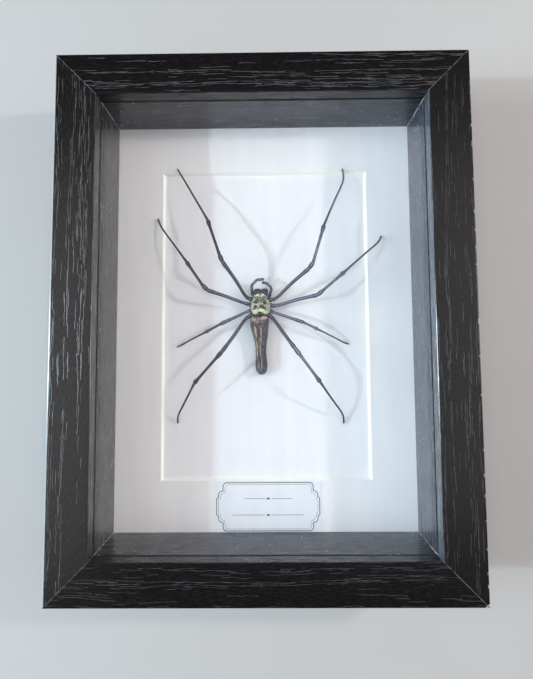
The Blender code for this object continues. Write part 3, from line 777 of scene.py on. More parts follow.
def build_spacers(foils, edge, raw):
    top, bottom = GLASS_BOTTOM - 0.05 * MM, MAT_TOP + LAY_GAP
    profile = [(0, bottom), (SPACER_THICKNESS, bottom), (SPACER_THICKNESS, top), (0, top)]
    width, height = SIGHT_WIDTH + 2 * SPACER_THICKNESS, SIGHT_HEIGHT + 2 * SPACER_THICKNESS

    # the top faces, just under the edge of the glass, get the near-black third finish as painted shade
    def slot_at(middle):
        return 2 if middle.z > top - 0.1 * MM else 0

    for name, bm in mitred_strips(width, height, profile, {1: 0.15 * MM, 2: 0.15 * MM}, slot_at, 1):
        piece("spacer_strip_" + name, bm, (foils[name], edge, raw), ("spacer_" + name,))


def rectangle(bm, width, height, centre, z):
    """The four corners of a flat rectangle, in turn."""
    corners = ((-1, -1), (1, -1), (1, 1), (-1, 1))
    return [bm.verts.new((centre[0] + i * width / 2, centre[1] + j * height / 2, z)) for i, j in corners]


def build_window_mat(face_paper, core):
    """The mat with its window, cut on a bevel that shows the cream core."""
    width, height, centre, slope = 100.7 * MM, 150.4 * MM, (0.5 * MM, 0.5 * MM), 1.0 * MM
    bm = bmesh.new()
    outer_top = rectangle(bm, SHEET_WIDTH, SHEET_HEIGHT, (0, 0), MAT_TOP)
    inner_top = rectangle(bm, width, height, centre, MAT_TOP)
    inner_bottom = rectangle(bm, width - 2 * slope, height - 2 * slope, centre, MAT_BOTTOM)
    outer_bottom = rectangle(bm, SHEET_WIDTH, SHEET_HEIGHT, (0, 0), MAT_BOTTOM)
    loops = [outer_top, inner_top, inner_bottom, outer_bottom, outer_top]
    for number, (one, other) in enumerate(zip(loops, loops[1:])):
        for i, j in ((0, 1), (1, 2), (2, 3), (3, 0)):
            bm.faces.new((one[i], one[j], other[j], other[i])).material_index = 0 if number == 0 else 1
    face_outwards(bm)
    piece("bevelled_mat", bm, (face_paper, core), ("window_mat",))


def plaque_corner():
    """A corner with two round lobes and a small one, from the end of the top line to the start of the side line."""
    points = []
    for middle_x, middle_y, radius in ((0.0, -2.0, 2.0), (-2.0, -6.05, 2.2), (-4.2, -7.8, 0.8)):
        for step in range(6):
            angle = math.radians(90 + 18 * step)
            points.append(((middle_x + radius * math.cos(angle)) * MM, (middle_y + radius * math.sin(angle)) * MM))
    return points


def printed_outline(width, height, line, centre, z):
    """A printed line round a plaque shape, as a very thin raised ring of ink."""
    corner = plaque_corner()
    reach = -corner[-1][0]
    quarter = [(x - (width / 2 - reach), y + height / 2) for x, y in corner]
    left = quarter + [(x, -y) for x, y in reversed(quarter)]
    outline = left + [(-x, y) for x, y in reversed(left)]
    bm = bmesh.new()
    face = flat_face(bm, [(centre[0] + x, centre[1] + y, z) for x, y in outline])
    bm.normal_update()
    bmesh.ops.inset_region(bm, faces=[face], thickness=line, use_boundary=True, use_even_offset=True)
    bmesh.ops.delete(bm, geom=[face], context="FACES")
    bmesh.ops.solidify(bm, geom=bm.faces[:], thickness=INK)
    face_outwards(bm)
    return bm


def build_label(paper, ink):
    """A label card with a printed double border and two printed rules, each with a lozenge in its middle."""
    width, height = 50.2 * MM, 23.3 * MM
    bottom, top = -SIGHT_HEIGHT / 2 + 0.3 * MM, MAT_TOP + 0.32 * MM
    middle = Vector((1.35 * MM, bottom + height / 2))
    low = (middle.x - width / 2, bottom, MAT_TOP + LAY_GAP)
    card = block(low, (middle.x + width / 2, bottom + height, top), 0.05 * MM)
    piece("label", card, (paper,), ("label_card",))

    border = (middle.x - 0.05 * MM, middle.y - 0.15 * MM)
    printing = [
        printed_outline(49.2 * MM, 22.7 * MM, 0.38 * MM, border, top + INK),
        printed_outline(47.2 * MM, 20.7 * MM, 0.14 * MM, border, top + INK),
    ]
    half_rule, gap = 0.1 * MM, 1.6 * MM
    for up, half in ((3.6 * MM, 11.5 * MM), (-4.0 * MM, 17.0 * MM)):
        for start, end in ((-half, -gap), (gap, half)):
            low = (middle.x + start, middle.y + up - half_rule, top)
            printing.append(block(low, (middle.x + end, middle.y + up + half_rule, top + INK)))
        lozenge = bmesh.new()
        form = Matrix.Translation((middle.x, middle.y + up, top + INK / 2)) @ Matrix.Diagonal((1.5, 0.8, 1, 1))
        cone(lozenge, form, 0.7 * MM, 0.7 * MM, INK, 4)
        printing.append(lozenge)
    piece("label_printing", merged(*printing), (ink,))


def build_tabs(steel):
    """Flat steel points pressed into the rails over the back board."""
    half, shown, buried, thickness = 4 * MM, 10 * MM, 4 * MM, 0.5 * MM
    outline = [(-half, -buried), (half, -buried)]
    for angle in map(math.radians, range(0, 181, 15)):
        outline.append((half * math.cos(angle), shown - half + half * math.sin(angle)))
    for name, turns, _, distance in sides(WIDTH, HEIGHT):
        spread = 58 * MM if turns % 2 else 38 * MM
        for number, along in enumerate((-spread, spread), start=1):
            bm = bmesh.new()
            extrude(bm, [flat_face(bm, [(along + x, y, FITTING_TOP) for x, y in outline])], (0, 0, -thickness))
            face_outwards(bm)
            bevelled(bm, bm.edges[:], 0.08 * MM, 1)
            on_side(bm, turns, distance - RABBET_WALL)
            piece(f"tab_{name}_{number}", bm, (steel,), (f"holding_tab_{name}_{number}",))


def build_hanger(steel):
    """A sawtooth hanger: a toothed strip with its middle raised off the board, on two domed rivets."""
    middle, width, half, thickness = 84 * MM, 9 * MM, 23 * MM, 0.8 * MM
    foot, rise = 16 * MM, 1.6 * MM
    pitch, depth, count = 3.2 * MM, 1.5 * MM, 7
    low = middle - width / 2
    run = count * pitch / 2
    outline = [(-half, low), (-run, low)]
    for number in range(count):
        left = -run + number * pitch
        outline += [(left + pitch / 2, low + depth), (left + pitch, low)]
    outline += [(half, low), (half, low + width), (-half, low + width)]
    bm = bmesh.new()
    flat_face(bm, [(x, y, FITTING_TOP) for x, y in outline])
    for x in (-foot, -foot + rise, foot - rise, foot):
        cut_through(bm, (x, 0, 0), (1, 0, 0))
    raised = [vert for vert in bm.verts if abs(vert.co.x) < foot - rise + 1e-6]
    bmesh.ops.translate(bm, vec=(0, 0, -rise), verts=raised)
    extrude(bm, bm.faces[:], (0, 0, -thickness))
    face_outwards(bm)
    sharp = [edge for edge in bm.edges if len(edge.link_faces) == 2 and edge.calc_face_angle() > 0.9]
    bevelled(bm, sharp, 0.12 * MM, 2)
    piece("hanger_strip", bm, (steel,), ("sawtooth_hanger",))

    # radius and height in mm, up the shank and over the dome
    shank = ((0, 1.6), (1.2, 1.6), (1.2, 0))
    dome = ((2.35, 0), (2.4, -0.15), (2.1, -0.55), (1.4, -0.85), (0.7, -0.93), (0, -0.95))
    base = FITTING_TOP - thickness
    for name, x in (("left", -19.5 * MM), ("right", 19.5 * MM)):
        bm = bmesh.new()
        verts = [bm.verts.new((x + radius * MM, middle, base + z * MM)) for radius, z in shank + dome]
        for one, other in zip(verts, verts[1:]):
            bm.edges.new((one, other))
        whole_turn = {"cent": (x, middle, base), "axis": (0, 0, 1), "angle": 2 * math.pi, "steps": 24}
        bmesh.ops.spin(bm, geom=bm.verts[:] + bm.edges[:], use_merge=True, **whole_turn)
        bmesh.ops.remove_doubles(bm, verts=bm.verts, dist=1e-6)
        face_outwards(bm)
        piece("rivet_" + name, bm, (steel,), ("hanger_rivet_" + name,), smooth=True)


# The spider, in mm from the middle of its carapace on the card

UP = Vector((0, 0, 1))
FORWARD = Vector((0, 1, 0))
HAIR_THICKNESS = 0.03
LEG_JOINTS = {
    "leg_left_1": ((-3.2, 2.5, 4.2), (-5.4, 3.2, 4.9), (-17.2, 19.0, 16.0), (-18.5, 22.1, 17.0),
                   (-24.4, 39.4, 13.0), (-39.1, 65.3, 4.2), (-41.0, 68.6, 2.4)),
    "leg_left_2": ((-3.4, 0.2, 4.1), (-5.6, 0.5, 4.6), (-24.5, 6.4, 12.0), (-27.0, 8.9, 12.5),
                   (-34.7, 20.1, 10.5), (-48.9, 39.8, 3.7), (-50.4, 43.3, 2.4)),
    "leg_left_3": ((-3.4, -2.1, 4.0), (-5.6, -2.8, 4.3), (-15.8, -7.7, 7.5), (-18.9, -9.1, 7.5),
                   (-26.0, -12.8, 6.5), (-38.6, -18.8, 1.5), (-40.8, -19.7, 0.6)),
    "leg_left_4": ((-2.9, -4.0, 4.2), (-5.5, -5.4, 4.8), (-17.5, -22.1, 14.0), (-20.0, -25.0, 14.5),
                   (-30.5, -36.7, 13.0), (-40.2, -54.1, 2.2), (-40.3, -56.4, 0.6)),
    "leg_right_1": ((3.2, 2.5, 4.2), (5.5, 2.6, 4.9), (22.7, 15.7, 15.0), (24.6, 18.4, 16.0),
                    (30.1, 36.4, 13.0), (41.1, 62.3, 4.2), (41.0, 67.7, 2.4)),
    "leg_right_2": ((3.4, 0.2, 4.1), (5.7, -0.2, 4.6), (27.0, 4.0, 10.5), (29.3, 5.9, 11.0),
                    (39.8, 14.9, 9.0), (58.1, 31.4, 3.4), (59.3, 33.7, 2.4)),
    "leg_right_3": ((3.4, -2.1, 4.0), (5.6, -3.2, 4.3), (18.3, -7.8, 6.5), (20.6, -8.6, 6.5),
                    (27.0, -11.7, 5.5), (40.5, -18.2, 1.4), (42.6, -18.9, 0.6)),
    "leg_right_4": ((2.9, -4.0, 4.2), (4.9, -5.6, 4.8), (15.7, -20.7, 14.0), (18.2, -24.1, 14.5),
                    (27.2, -36.4, 14.0), (39.2, -53.5, 2.6), (39.7, -56.9, 0.6)),
}
# Share of its length and radius there, along each stiff part: coxa, femur, patella, tibia, metatarsus, tarsus
LEG_PARTS = (
    ((0.0, 0.70), (0.15, 1.05), (0.5, 1.20), (0.85, 1.12), (1.0, 0.70)),
    ((0.0, 0.45), (0.02, 0.80), (0.05, 0.98), (0.09, 0.76), (0.14, 0.75), (0.19, 0.75), (0.25, 0.76), (0.32, 0.77),
     (0.40, 0.78), (0.55, 0.80), (0.82, 0.82), (0.94, 1.02), (0.985, 1.00), (1.0, 0.60)),
    ((-0.06, 0.40), (0.0, 0.76), (0.12, 0.90), (0.4, 1.06), (0.75, 1.06), (0.95, 0.88), (1.04, 0.45)),
    ((-0.01, 0.35), (0.01, 0.66), (0.04, 0.78), (0.12, 0.66), (0.5, 0.62), (0.8, 0.70), (0.90, 0.96), (0.96, 1.10),
     (1.0, 0.86), (1.01, 0.42)),
    ((-0.01, 0.30), (0.01, 0.56), (0.05, 0.62), (0.12, 0.50), (0.3, 0.46), (0.6, 0.43), (0.75, 0.42), (0.83, 0.42),
     (0.89, 0.42), (0.94, 0.43), (0.98, 0.44), (1.0, 0.38)),
    ((-0.02, 0.34), (0.06, 0.43), (0.2, 0.42), (0.4, 0.41), (0.65, 0.41), (0.9, 0.45), (1.0, 0.34)),
)
# How far the middle of each part bows up, as a share of its length
LEG_BOWS = (0.0, 0.035, 0.05, 0.02, 0.05, 0.03)
# Hairs per mm on each part, and their length and lean
LEG_HAIRS = ((2, 0.3, 0.9), (2.5, 0.32, 1.0), (3, 0.32, 1.0), (3.5, 0.38, 1.3), (3.5, 0.32, 1.4), (5, 0.28, 1.4))
# Materials of a leg's parts: the coxa is like the folds, and the patella has a brighter painted highlight at the knee
LEG_SLOTS = {0: 1, 2: 3}
# Pale balls painted on top of a leg's joints as highlights: joint, height over it and radius
JOINT_HIGHLIGHTS = ((1, 0.95, 0.34), (2, 0.90, 0.38))

PALP_JOINTS = {
    "pedipalp_left": ((-2.6, 4.0, 4.2), (-3.8, 5.6, 5.0), (-4.25, 8.8, 6.9), (-3.7, 9.9, 7.0),
                      (-1.6, 12.0, 6.8), (1.8, 12.5, 5.6)),
    "pedipalp_right": ((2.8, 3.2, 4.2), (4.4, 4.6, 5.0), (5.25, 7.5, 6.9), (4.8, 8.6, 7.0),
                       (2.9, 10.4, 6.8), (0.8, 10.9, 5.8)),
}
PALP_PARTS = (
    ((0.0, 0.5), (0.3, 0.72), (1.0, 0.62)),
    ((0.0, 0.40), (0.08, 0.60), (0.5, 0.62), (0.92, 0.64), (1.0, 0.45)),
    ((-0.1, 0.35), (0.1, 0.58), (0.6, 0.64), (1.05, 0.45)),
    ((0.0, 0.35), (0.1, 0.52), (0.6, 0.58), (0.92, 0.62), (1.0, 0.42)),
    ((-0.02, 0.34), (0.08, 0.56), (0.45, 0.62), (0.8, 0.58), (0.95, 0.42), (1.0, 0.2)),
)
PALP_BOWS = (0.0,) * 5
PALP_HAIRS = ((3, 0.25, 0.8), (4, 0.28, 0.9), (5, 0.28, 0.9), (6, 0.3, 1.0), (9, 0.35, 1.0))
# Rings of a jaw: y, z, half width and half height. Rings of a fang: x, y, z and radius
JAW_PATH = (
    (4.2, 6.3, 1.3, 1.0), (5.4, 6.9, 1.8, 1.2), (6.4, 6.6, 1.82, 1.45), (6.6, 5.4, 1.8, 1.5), (6.6, 4.2, 1.7, 1.45),
    (6.5, 3.0, 1.4, 1.25), (6.2, 2.1, 1.0, 0.9), (5.9, 1.5, 0.55, 0.5),
)
FANG_PATH = ((1.5, 5.4, 1.6, 0.36), (1.0, 5.3, 1.15, 0.30), (0.45, 5.0, 0.95, 0.2), (0.1, 4.6, 0.95, 0.07))
JAW_HAIRS = 90


def spider_piece(name, bm, materials, nodes=()):
    """A piece modelled in the spider's own mm, brought to its place in the frame."""
    bmesh.ops.transform(bm, matrix=SPIDER_PLACE, verts=bm.verts)
    piece(name, bm, materials, nodes, smooth=True)


def bristle(bm, root, direction, length, thickness=HAIR_THICKNESS):
    """One tapered hair with its foot just inside the skin."""
    form = Matrix.Translation(root + direction * (length / 2 - thickness)) @ turned_along(direction)
    cone(bm, form, thickness, thickness * 0.12, length, 3)


def bowed(start, end, share, lift, leave=None, arrive=None, settle=2):
    """A point on a slightly arched line between two joints, and its direction there.

    The line may leave its first joint and arrive at its last one in given directions.
    """
    line = end - start
    leave, arrive = (turn.normalized() * line.length if turn else line for turn in (leave, arrive))
    upright = UP - line.normalized() * line.normalized().z
    if upright.length < 0.2:
        upright = FORWARD.copy()
    upright.normalize()
    early, late = share * (1 - share) ** settle, share ** 5 * (share - 1)
    centre = start.lerp(end, share) + (leave - line) * early + (arrive - line) * late
    centre += upright * (lift * line.length * 4 * share * (1 - share))
    direction = line + (leave - line) * (1 - share) ** (settle - 1) * (1 - (settle + 1) * share)
    direction += (arrive - line) * share ** 4 * (6 * share - 5)
    direction += upright * (lift * line.length * 4 * (1 - 2 * share))
    return centre, direction.normalized()


def part_lines(joints, bows, is_leg):
    """The middle line of each part of a limb. A leg curves out of its hip, and its last two parts run together."""
    joints = [Vector(joint) for joint in joints]
    hip = (joints[1] - joints[0]).normalized()
    hip.z = (joints[2] - joints[1]).normalized().z
    ankle = (joints[-1] - joints[-3]).normalized() + (joints[-1] - joints[-2]).normalized()
    turns = {1: {"leave": hip, "settle": 5}, 4: {"arrive": ankle}, 5: {"leave": ankle}} if is_leg else {}
    return [
        functools.partial(bowed, start, end, lift=lift, **turns.get(number, {}))
        for number, (start, end, lift) in enumerate(zip(joints, joints[1:], bows))
    ]


def radius_at(radii, share):
    for (low, one), (high, other) in zip(radii, radii[1:]):
        if share <= high:
            return one + (other - one) * (share - low) / (high - low)
    return radii[-1][1]


def hairs_on_part(bm, line, radii, slimness, per_mm, length, lean, chance):
    """Hairs all round a part, which lean towards its far end."""
    for _ in range(int(per_mm * (line(1.0)[0] - line(0.0)[0]).length)):
        share = chance.uniform(0.04, 0.98)
        centre, direction = line(share)
        outward = direction.orthogonal().normalized()
        outward.rotate(Matrix.Rotation(chance.uniform(0, 2 * math.pi), 3, direction))
        root = centre + outward * radius_at(radii, share) * slimness
        lie = (outward + direction * lean * chance.uniform(0.8, 1.5)).normalized()
        bristle(bm, root, lie, length * chance.uniform(0.6, 1.3))


def joint_fold_and_highlight_ball(bm, place, radius, slot=1):
    """A small ball at a joint: a fold of skin, or with the pale finish a highlight painted on it."""
    ball(bm, place, radius, 10, 6, slot)


def claws(bm, tip, direction, size):
    """Two curved claws at the end of a leg."""
    sideways = direction.cross(UP).normalized()
    steps = ((0.25, 0.10, 0.0, 0.07), (0.50, 0.14, 0.10, 0.05), (0.62, 0.14, 0.26, 0.02))
    for side in (-1, 1):
        rings = [(tip - direction * 0.1, direction, 0.09, 0.09)]
        for number, (ahead, aside, down, radius) in enumerate(steps, start=1):
            place = tip + (direction * ahead + sideways * side * aside - UP * down) * size
            rings.append((place, direction - Vector((0, 0, 0.3)) * number, radius, radius))
        loft(bm, rings, 6)


def mark_upper(bm):
    """Notes at each vertex how much of the skin faces up."""
    bm.normal_update()
    upper = bm.verts.layers.float.new("upper")
    for vert in bm.verts:
        vert[upper] = max(vert.normal.z, 0.0)


def build_limb(name, joints, parts, bows, hairs, slimness, materials, is_leg):
    chance = random.Random(name)
    lines = part_lines(joints, bows, is_leg)
    bm = bmesh.new()
    for number, (line, radii) in enumerate(zip(lines, parts)):
        before = len(bm.faces)
        loft(bm, [(*line(share), radius * slimness, radius * slimness) for share, radius in radii], 12)
        bm.faces.ensure_lookup_table()
        if is_leg and number in LEG_SLOTS:
            for face in bm.faces[before:]:
                face.material_index = LEG_SLOTS[number]
    for place, radii in zip(joints[1:-1], parts):
        joint_fold_and_highlight_ball(bm, place, radii[-1][1] * slimness * 1.25)
    for line, radii, (per_mm, length, lean) in zip(lines, parts, hairs):
        hairs_on_part(bm, line, radii, slimness, per_mm, length, lean, chance)
    if is_leg:
        # painted highlights: pale balls on top of the hip and knee joints
        for joint, height, radius in JOINT_HIGHLIGHTS:
            joint_fold_and_highlight_ball(bm, Vector(joints[joint]) + UP * (height * slimness), radius, 2)
        tip = Vector(joints[-1])
        claws(bm, tip, (tip - Vector(joints[-2])).normalized(), 1.3)
    face_outwards(bm)
    mark_upper(bm)
    spider_piece(name + "_skin", bm, materials, (name,))


def build_legs(materials):
    for name, joints in LEG_JOINTS.items():
        slimness = 0.88 if name.endswith("3") else 1.0
        build_limb(name, joints, LEG_PARTS, LEG_BOWS, LEG_HAIRS, slimness, materials, True)


def build_palps(materials):
    for name, joints in PALP_JOINTS.items():
        build_limb(name, joints, PALP_PARTS, PALP_BOWS, PALP_HAIRS, 1.14, materials, False)


def build_jaws(materials):
    """Two stout jaws under the front of the head, each with a folded fang."""
    for name, side in (("left", -1), ("right", 1)):
        jaw = [(Vector((side * 1.7 + 0.35, y, z)), width, height) for y, z, width, height in JAW_PATH]
        fang = [(Vector((side * x + 0.3, y, z)), radius, radius) for x, y, z, radius in FANG_PATH]
        bm = bmesh.new()
        loft(bm, rings_along(jaw), 16, 0.62)
        bm = rounded(bm, 1)
        loft(bm, rings_along(fang), 8)
        chance = random.Random(side)
        for _ in range(JAW_HAIRS):
            angle, drop = chance.uniform(-1.6, 1.6), chance.uniform(2.2, 5.4)
            outward = Vector((math.sin(angle), math.cos(angle), 0))
            root = Vector((side * 1.6 + 0.3, 6.5, drop)) + outward * 1.35
            bristle(bm, root, (outward - UP * 0.8).normalized(), chance.uniform(0.3, 0.5))
        face_outwards(bm)
        mark_upper(bm)
        spider_piece("jaw_" + name, bm, materials, ("chelicera_" + name,))


# Rings of the body: y, x, z, half width, half height
CARAPACE_STATIONS = (
    (-5.0, 0.0, 4.5, 2.4, 1.2),
    (-4.9, 0.0, 4.5, 3.3, 2.2),
    (-4.3, 0.0, 4.4, 4.0, 2.8),
    (-3.2, 0.0, 4.3, 4.6, 3.3),
    (-1.6, 0.0, 4.3, 5.0, 3.6),
    (0.0, 0.0, 4.3, 5.05, 3.75),
    (1.2, 0.0, 4.45, 4.85, 3.75),
    (2.2, 0.0, 4.8, 4.25, 3.6),
    (3.1, 0.0, 5.1, 3.55, 3.4),
    (4.2, 0.0, 5.3, 3.25, 3.15),
    (5.0, 0.0, 5.4, 3.1, 2.8),
    (5.35, 0.0, 5.4, 2.85, 2.4),
    (5.45, 0.0, 5.4, 2.2, 1.6),
)
ABDOMEN_STATIONS = (
    (-5.3, -0.55, 4.9, 2.7, 1.4),
    (-5.6, -0.55, 4.9, 4.0, 2.6),
    (-6.4, -0.55, 4.9, 4.55, 3.5),
    (-8.5, -0.57, 4.8, 4.58, 3.9),
    (-10.0, -0.6, 4.7, 4.4, 3.85),
    (-12.5, -0.36, 4.45, 4.0, 3.7),
    (-15.0, -0.1, 4.2, 3.5, 3.4),
    (-18.0, 0.0, 3.9, 2.9, 3.0),
    (-20.0, 0.05, 3.75, 2.65, 2.8),
    (-22.5, 0.1, 3.6, 2.52, 2.7),
    (-25.0, 0.2, 3.5, 2.58, 2.65),
    (-27.0, 0.22, 3.5, 2.82, 2.75),
    (-29.0, 0.32, 3.6, 2.96, 2.8),
    (-31.1, 0.4, 3.6, 2.72, 2.6),
    (-32.7, 0.4, 3.5, 1.95, 1.95),
    (-33.3, 0.4, 3.5, 1.0, 1.0),
)
# Bumps and dents: x, y, z, radius and height. The carapace has those off its middle on both sides
CARAPACE_RELIEF = (
    (0.0, -1.9, 8.0, 0.8, -0.45),
    (1.2, 0.5, 8.1, 0.7, -0.25),
    (2.1, 1.6, 7.8, 0.8, -0.35),
    (3.0, 2.2, 6.8, 0.9, -0.35),
    (2.6, -1.4, 7.4, 0.7, -0.22),
    (1.7, -3.3, 7.2, 0.8, 0.15),
    (0.0, 4.0, 8.4, 1.3, 0.25),
)
ABDOMEN_RELIEF = ((0.8, -10.0, 8.6, 1.2, -0.3), (-2.2, -9.2, 8.2, 0.9, -0.2), (0.2, -15.0, 7.6, 1.0, -0.25))
# The eyes of one side and the waist: x, y, z and radius
EYES = ((0.5, 5.35, 6.9, 0.24), (0.55, 5.0, 7.75, 0.2), (2.35, 5.2, 6.5, 0.18), (2.5, 4.8, 7.0, 0.18))
WAIST = ((-0.3, -7.0, 4.6, 0.8), (-0.2, -5.8, 4.5, 0.9), (0, -4.6, 4.4, 1.1))
# The spinnerets of one side under the abdomen's tip: x, y, z and tilt
SPINNERETS = ((0.7, -32.3, 1.6, 0.5), (0.45, -31.6, 1.2, 0.2))
DOWN_HAIRS = 900
DOWN_THICKNESS = 0.024


def both_sides(rows):
    """Each row mirrored and as given. A row in the middle comes once."""
    for x, *rest in rows:
        for side in (-1, 1) if x else (1,):
            yield side * x, *rest


def body_form(stations):
    """A smooth closed body through its rings."""
    bm = bmesh.new()
    loft(bm, [(Vector((x, y, z)), FORWARD, width, height) for y, x, z, width, height in stations], 20)
    return rounded(bm, 2)


def reshape(bm, features, wrinkle, size):
    """Moves the skin out and in by soft bumps, and wrinkles it."""
    bm.normal_update()
    moves = []
    for vert in bm.verts:
        move = 0.0
        for x, y, z, radius, height in features:
            gap = (vert.co - Vector((x, y, z))).length / radius
            if gap < 2.5:
                move += height * math.exp(-gap * gap)
        move += wrinkle * noise.fractal(vert.co / size, 0.8, 2.0, 4)
        moves.append(vert.normal * move)
    for vert, move in zip(bm.verts, moves):
        vert.co += move


def build_carapace(skin, limb, eye):
    bm = body_form(CARAPACE_STATIONS)
    reshape(bm, list(both_sides(CARAPACE_RELIEF)), 0.09, 1.3)
    chance = random.Random(3)
    down = [(face.calc_center_median(), face.normal.copy()) for face in bm.faces if face.calc_center_median().z > 4.2]
    # two small horns
    for side in (-1, 1):
        form = Matrix.Translation((side * 1.95, 0.95, 7.6)) @ Matrix.Rotation(side * 0.35, 4, "Y")
        cone(bm, form, 0.5, 0.12, 0.9, 12)
    for _ in range(DOWN_HAIRS):
        root, outward = chance.choice(down)
        root = root + Vector((chance.uniform(-0.12, 0.12), chance.uniform(-0.12, 0.12), 0))
        lie = outward + Vector((chance.uniform(-0.3, 0.3), 0.9 if root.y > 1 else -0.9, 0.2))
        bristle(bm, root, lie.normalized(), chance.uniform(0.15, 0.30), DOWN_THICKNESS)
    # breast plate and hip sockets under the shield
    ball(bm, (0, -0.6, 2.3), 1.0, 20, 10, slot=1, stretch=(2.7, 3.6, 1.9))
    before = set(bm.faces)
    loft(bm, [((x, y, z), (0, 1, 0.1), radius, radius) for x, y, z, radius in WAIST], 12)
    for face in set(bm.faces) - before:
        face.material_index = 1
    face_outwards(bm)
    spider_piece("carapace", bm, (skin, limb), ("cephalothorax",))

    bm = bmesh.new()
    for *place, radius in both_sides(EYES):
        ball(bm, place, radius, 12, 8)
    spider_piece("eyes", bm, (eye,))


def mark_across(bm, stations):
    """Notes at each vertex how far across the body it lies, from -1 at the left edge to 1 at the right one."""
    across = bm.verts.layers.float.new("across")
    for vert in bm.verts:
        y = vert.co.y
        for (y1, x1, _, w1, _), (y2, x2, _, w2, _) in zip(stations, stations[1:]):
            if y >= y2 or y2 == stations[-1][0]:
                share = min(max((y1 - y) / (y1 - y2), 0.0), 1.0)
                middle, half = x1 + (x2 - x1) * share, max(w1 + (w2 - w1) * share, 2.2)
                vert[across] = (vert.co.x - middle) / half
                break


def build_abdomen(skin, limb):
    bm = body_form(ABDOMEN_STATIONS)
    reshape(bm, ABDOMEN_RELIEF, 0.16, 1.6)
    for *place, tilt in both_sides(SPINNERETS):
        cone(bm, Matrix.Translation(place) @ Matrix.Rotation(-tilt, 4, "X"), 0.22, 0.5, 1.3, 10)
    face_outwards(bm)
    mark_across(bm, ABDOMEN_STATIONS)
    spider_piece("abdomen_skin", bm, (skin, limb), ("abdomen",))


# Everything put together

end_lip = smooth_foil("sight_edge_foil_ends", black=0.013, dust=0.0, shine=0.72)
# the blue tint of the top, right and bottom spacer foils is painted light from the blue window; the left spacer keeps
# the plain black
spacer_foil_painted_blue_light = smooth_foil("spacer_foil", black=0.018, dust=0.36, shine=0.85, tint=(1.0, 1.2, 1.9))
build_rails(
    {
        # each rail's pore colour, and the raised contrast on the left rail, are painted highlight and sheen that
        # follow the light on that rail
        "top": woodgrain_foil("foil_grain_top", True, seed=1.3, coverage=0.60, pore_highlight=0.205, shine=0.22),
        "bottom": woodgrain_foil("foil_grain_bottom", True, seed=8.3, coverage=0.40, pore_highlight=0.115, shine=0.22),
        "left": woodgrain_foil(
            "foil_grain_left", False, seed=2.9, coverage=0.40, pore_highlight=0.165, shine=0.52, contrast=0.0115
        ),
        "right": woodgrain_foil("foil_grain_right", False, seed=7.1, coverage=0.40, pore_highlight=0.095, shine=0.32),
    },
    {
        "top": end_lip,
        "bottom": end_lip,
        # the left and right sight edges are lighter copies of the end foil, the right one blue: painted sheen of the
        # window light falling on them
        "left": smooth_foil("sight_edge_foil_left", black=0.052, dust=0.0, shine=0.95, roughness=0.22),
        "right": smooth_foil(
            "sight_edge_foil_right", black=0.060, dust=0.0, shine=1.0, roughness=0.22, tint=(1.0, 1.12, 1.35)
        ),
    },
    mitre_edge("cut_foil_edge", 0.14),
    fibreboard("raw_fibreboard", (0.19, 0.12, 0.07), (0.33, 0.23, 0.14)),
)
build_spacers(
    {
        "top": spacer_foil_painted_blue_light,
        "right": spacer_foil_painted_blue_light,
        "left": smooth_foil("warm_spacer_foil", black=0.018, dust=0.12, shine=0.85),
        # the bottom spacer carries the same painted blue light, with more dust
        "bottom": smooth_foil("dusty_spacer_foil", black=0.022, dust=0.60, shine=0.85, tint=(1.0, 1.15, 1.7)),
    },
    mitre_edge("cut_spacer_edge", 0.50),
    # a near-black finish for the spacers' top faces: painted shade under the glass edge
    fibreboard("spacer_core", (0.003, 0.003, 0.003), (0.007, 0.007, 0.007)),
)
glass = clear_glass("picture_glass_clear")
piece("picture_glass", sheet(GLASS_BOTTOM, GLASS_TOP, 0.2 * MM), (glass,), ("glass_pane",))
mat_paper = white_paper("mat_face_paper", (0.86, 0.86, 0.865), 0.85, 0.03 * MM)
build_window_mat(mat_paper, white_paper("mat_core", (0.93, 0.92, 0.85), 0.9, 0.02 * MM))
card_paper = white_paper("specimen_card_paper", (0.875, 0.88, 0.895), 0.8, 0.02 * MM, dust=0.02)
card = sheet(CARD_TOP - 1.5 * MM, CARD_TOP, 0.1 * MM)
piece("specimen_card", card, (card_paper,), ("backing_card",))
build_label(white_paper("label_stock", (0.82, 0.845, 0.885), 0.6, 0.01 * MM), printing_ink("label_ink"))

steel = zinc_steel("zinc_plated_steel")
board = fibreboard("brown_hardboard_face", (0.11, 0.06, 0.03), (0.20, 0.12, 0.065), 1400.0)
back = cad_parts["back_board"]
back.data.materials.clear()
back.data.materials.append(board)
build_tabs(steel)
build_hanger(steel)

limb_skin = black_limb("black_leg_skin", (0.004, 0.005, 0.010), (0.222, 0.290, 0.398), 0.34)
fold_skin = black_limb("joint_fold_skin", (0.008, 0.009, 0.013), (0.070, 0.080, 0.110), 0.50)
jaw_skin = black_limb("black_jaw_skin", (0.005, 0.007, 0.012), (0.036, 0.054, 0.090), 0.42)
# pale finish for small balls painted on top of joints as highlights
joint_highlight_skin = black_limb("pale_joint_skin", (0.10, 0.10, 0.12), (0.60, 0.60, 0.70), 0.45)
# the knee finish is the leg skin with a brighter painted highlight
knee_skin = black_limb("knee_skin", (0.004, 0.005, 0.010), (0.28, 0.35, 0.45), 0.34)
eye_bead = Surface("eye_bead", Roughness=0.08, Base_Color=(0.01, 0.008, 0.006), Coat_Weight=1.0).made
build_legs((limb_skin, fold_skin, joint_highlight_skin, knee_skin))
build_palps((limb_skin, fold_skin, joint_highlight_skin))
build_jaws((jaw_skin,))
build_carapace(carapace_skin("carapace_down"), limb_skin, eye_bead)
build_abdomen(abdomen_skin("shrunken_abdomen_skin"), limb_skin)


# Floor, light and camera

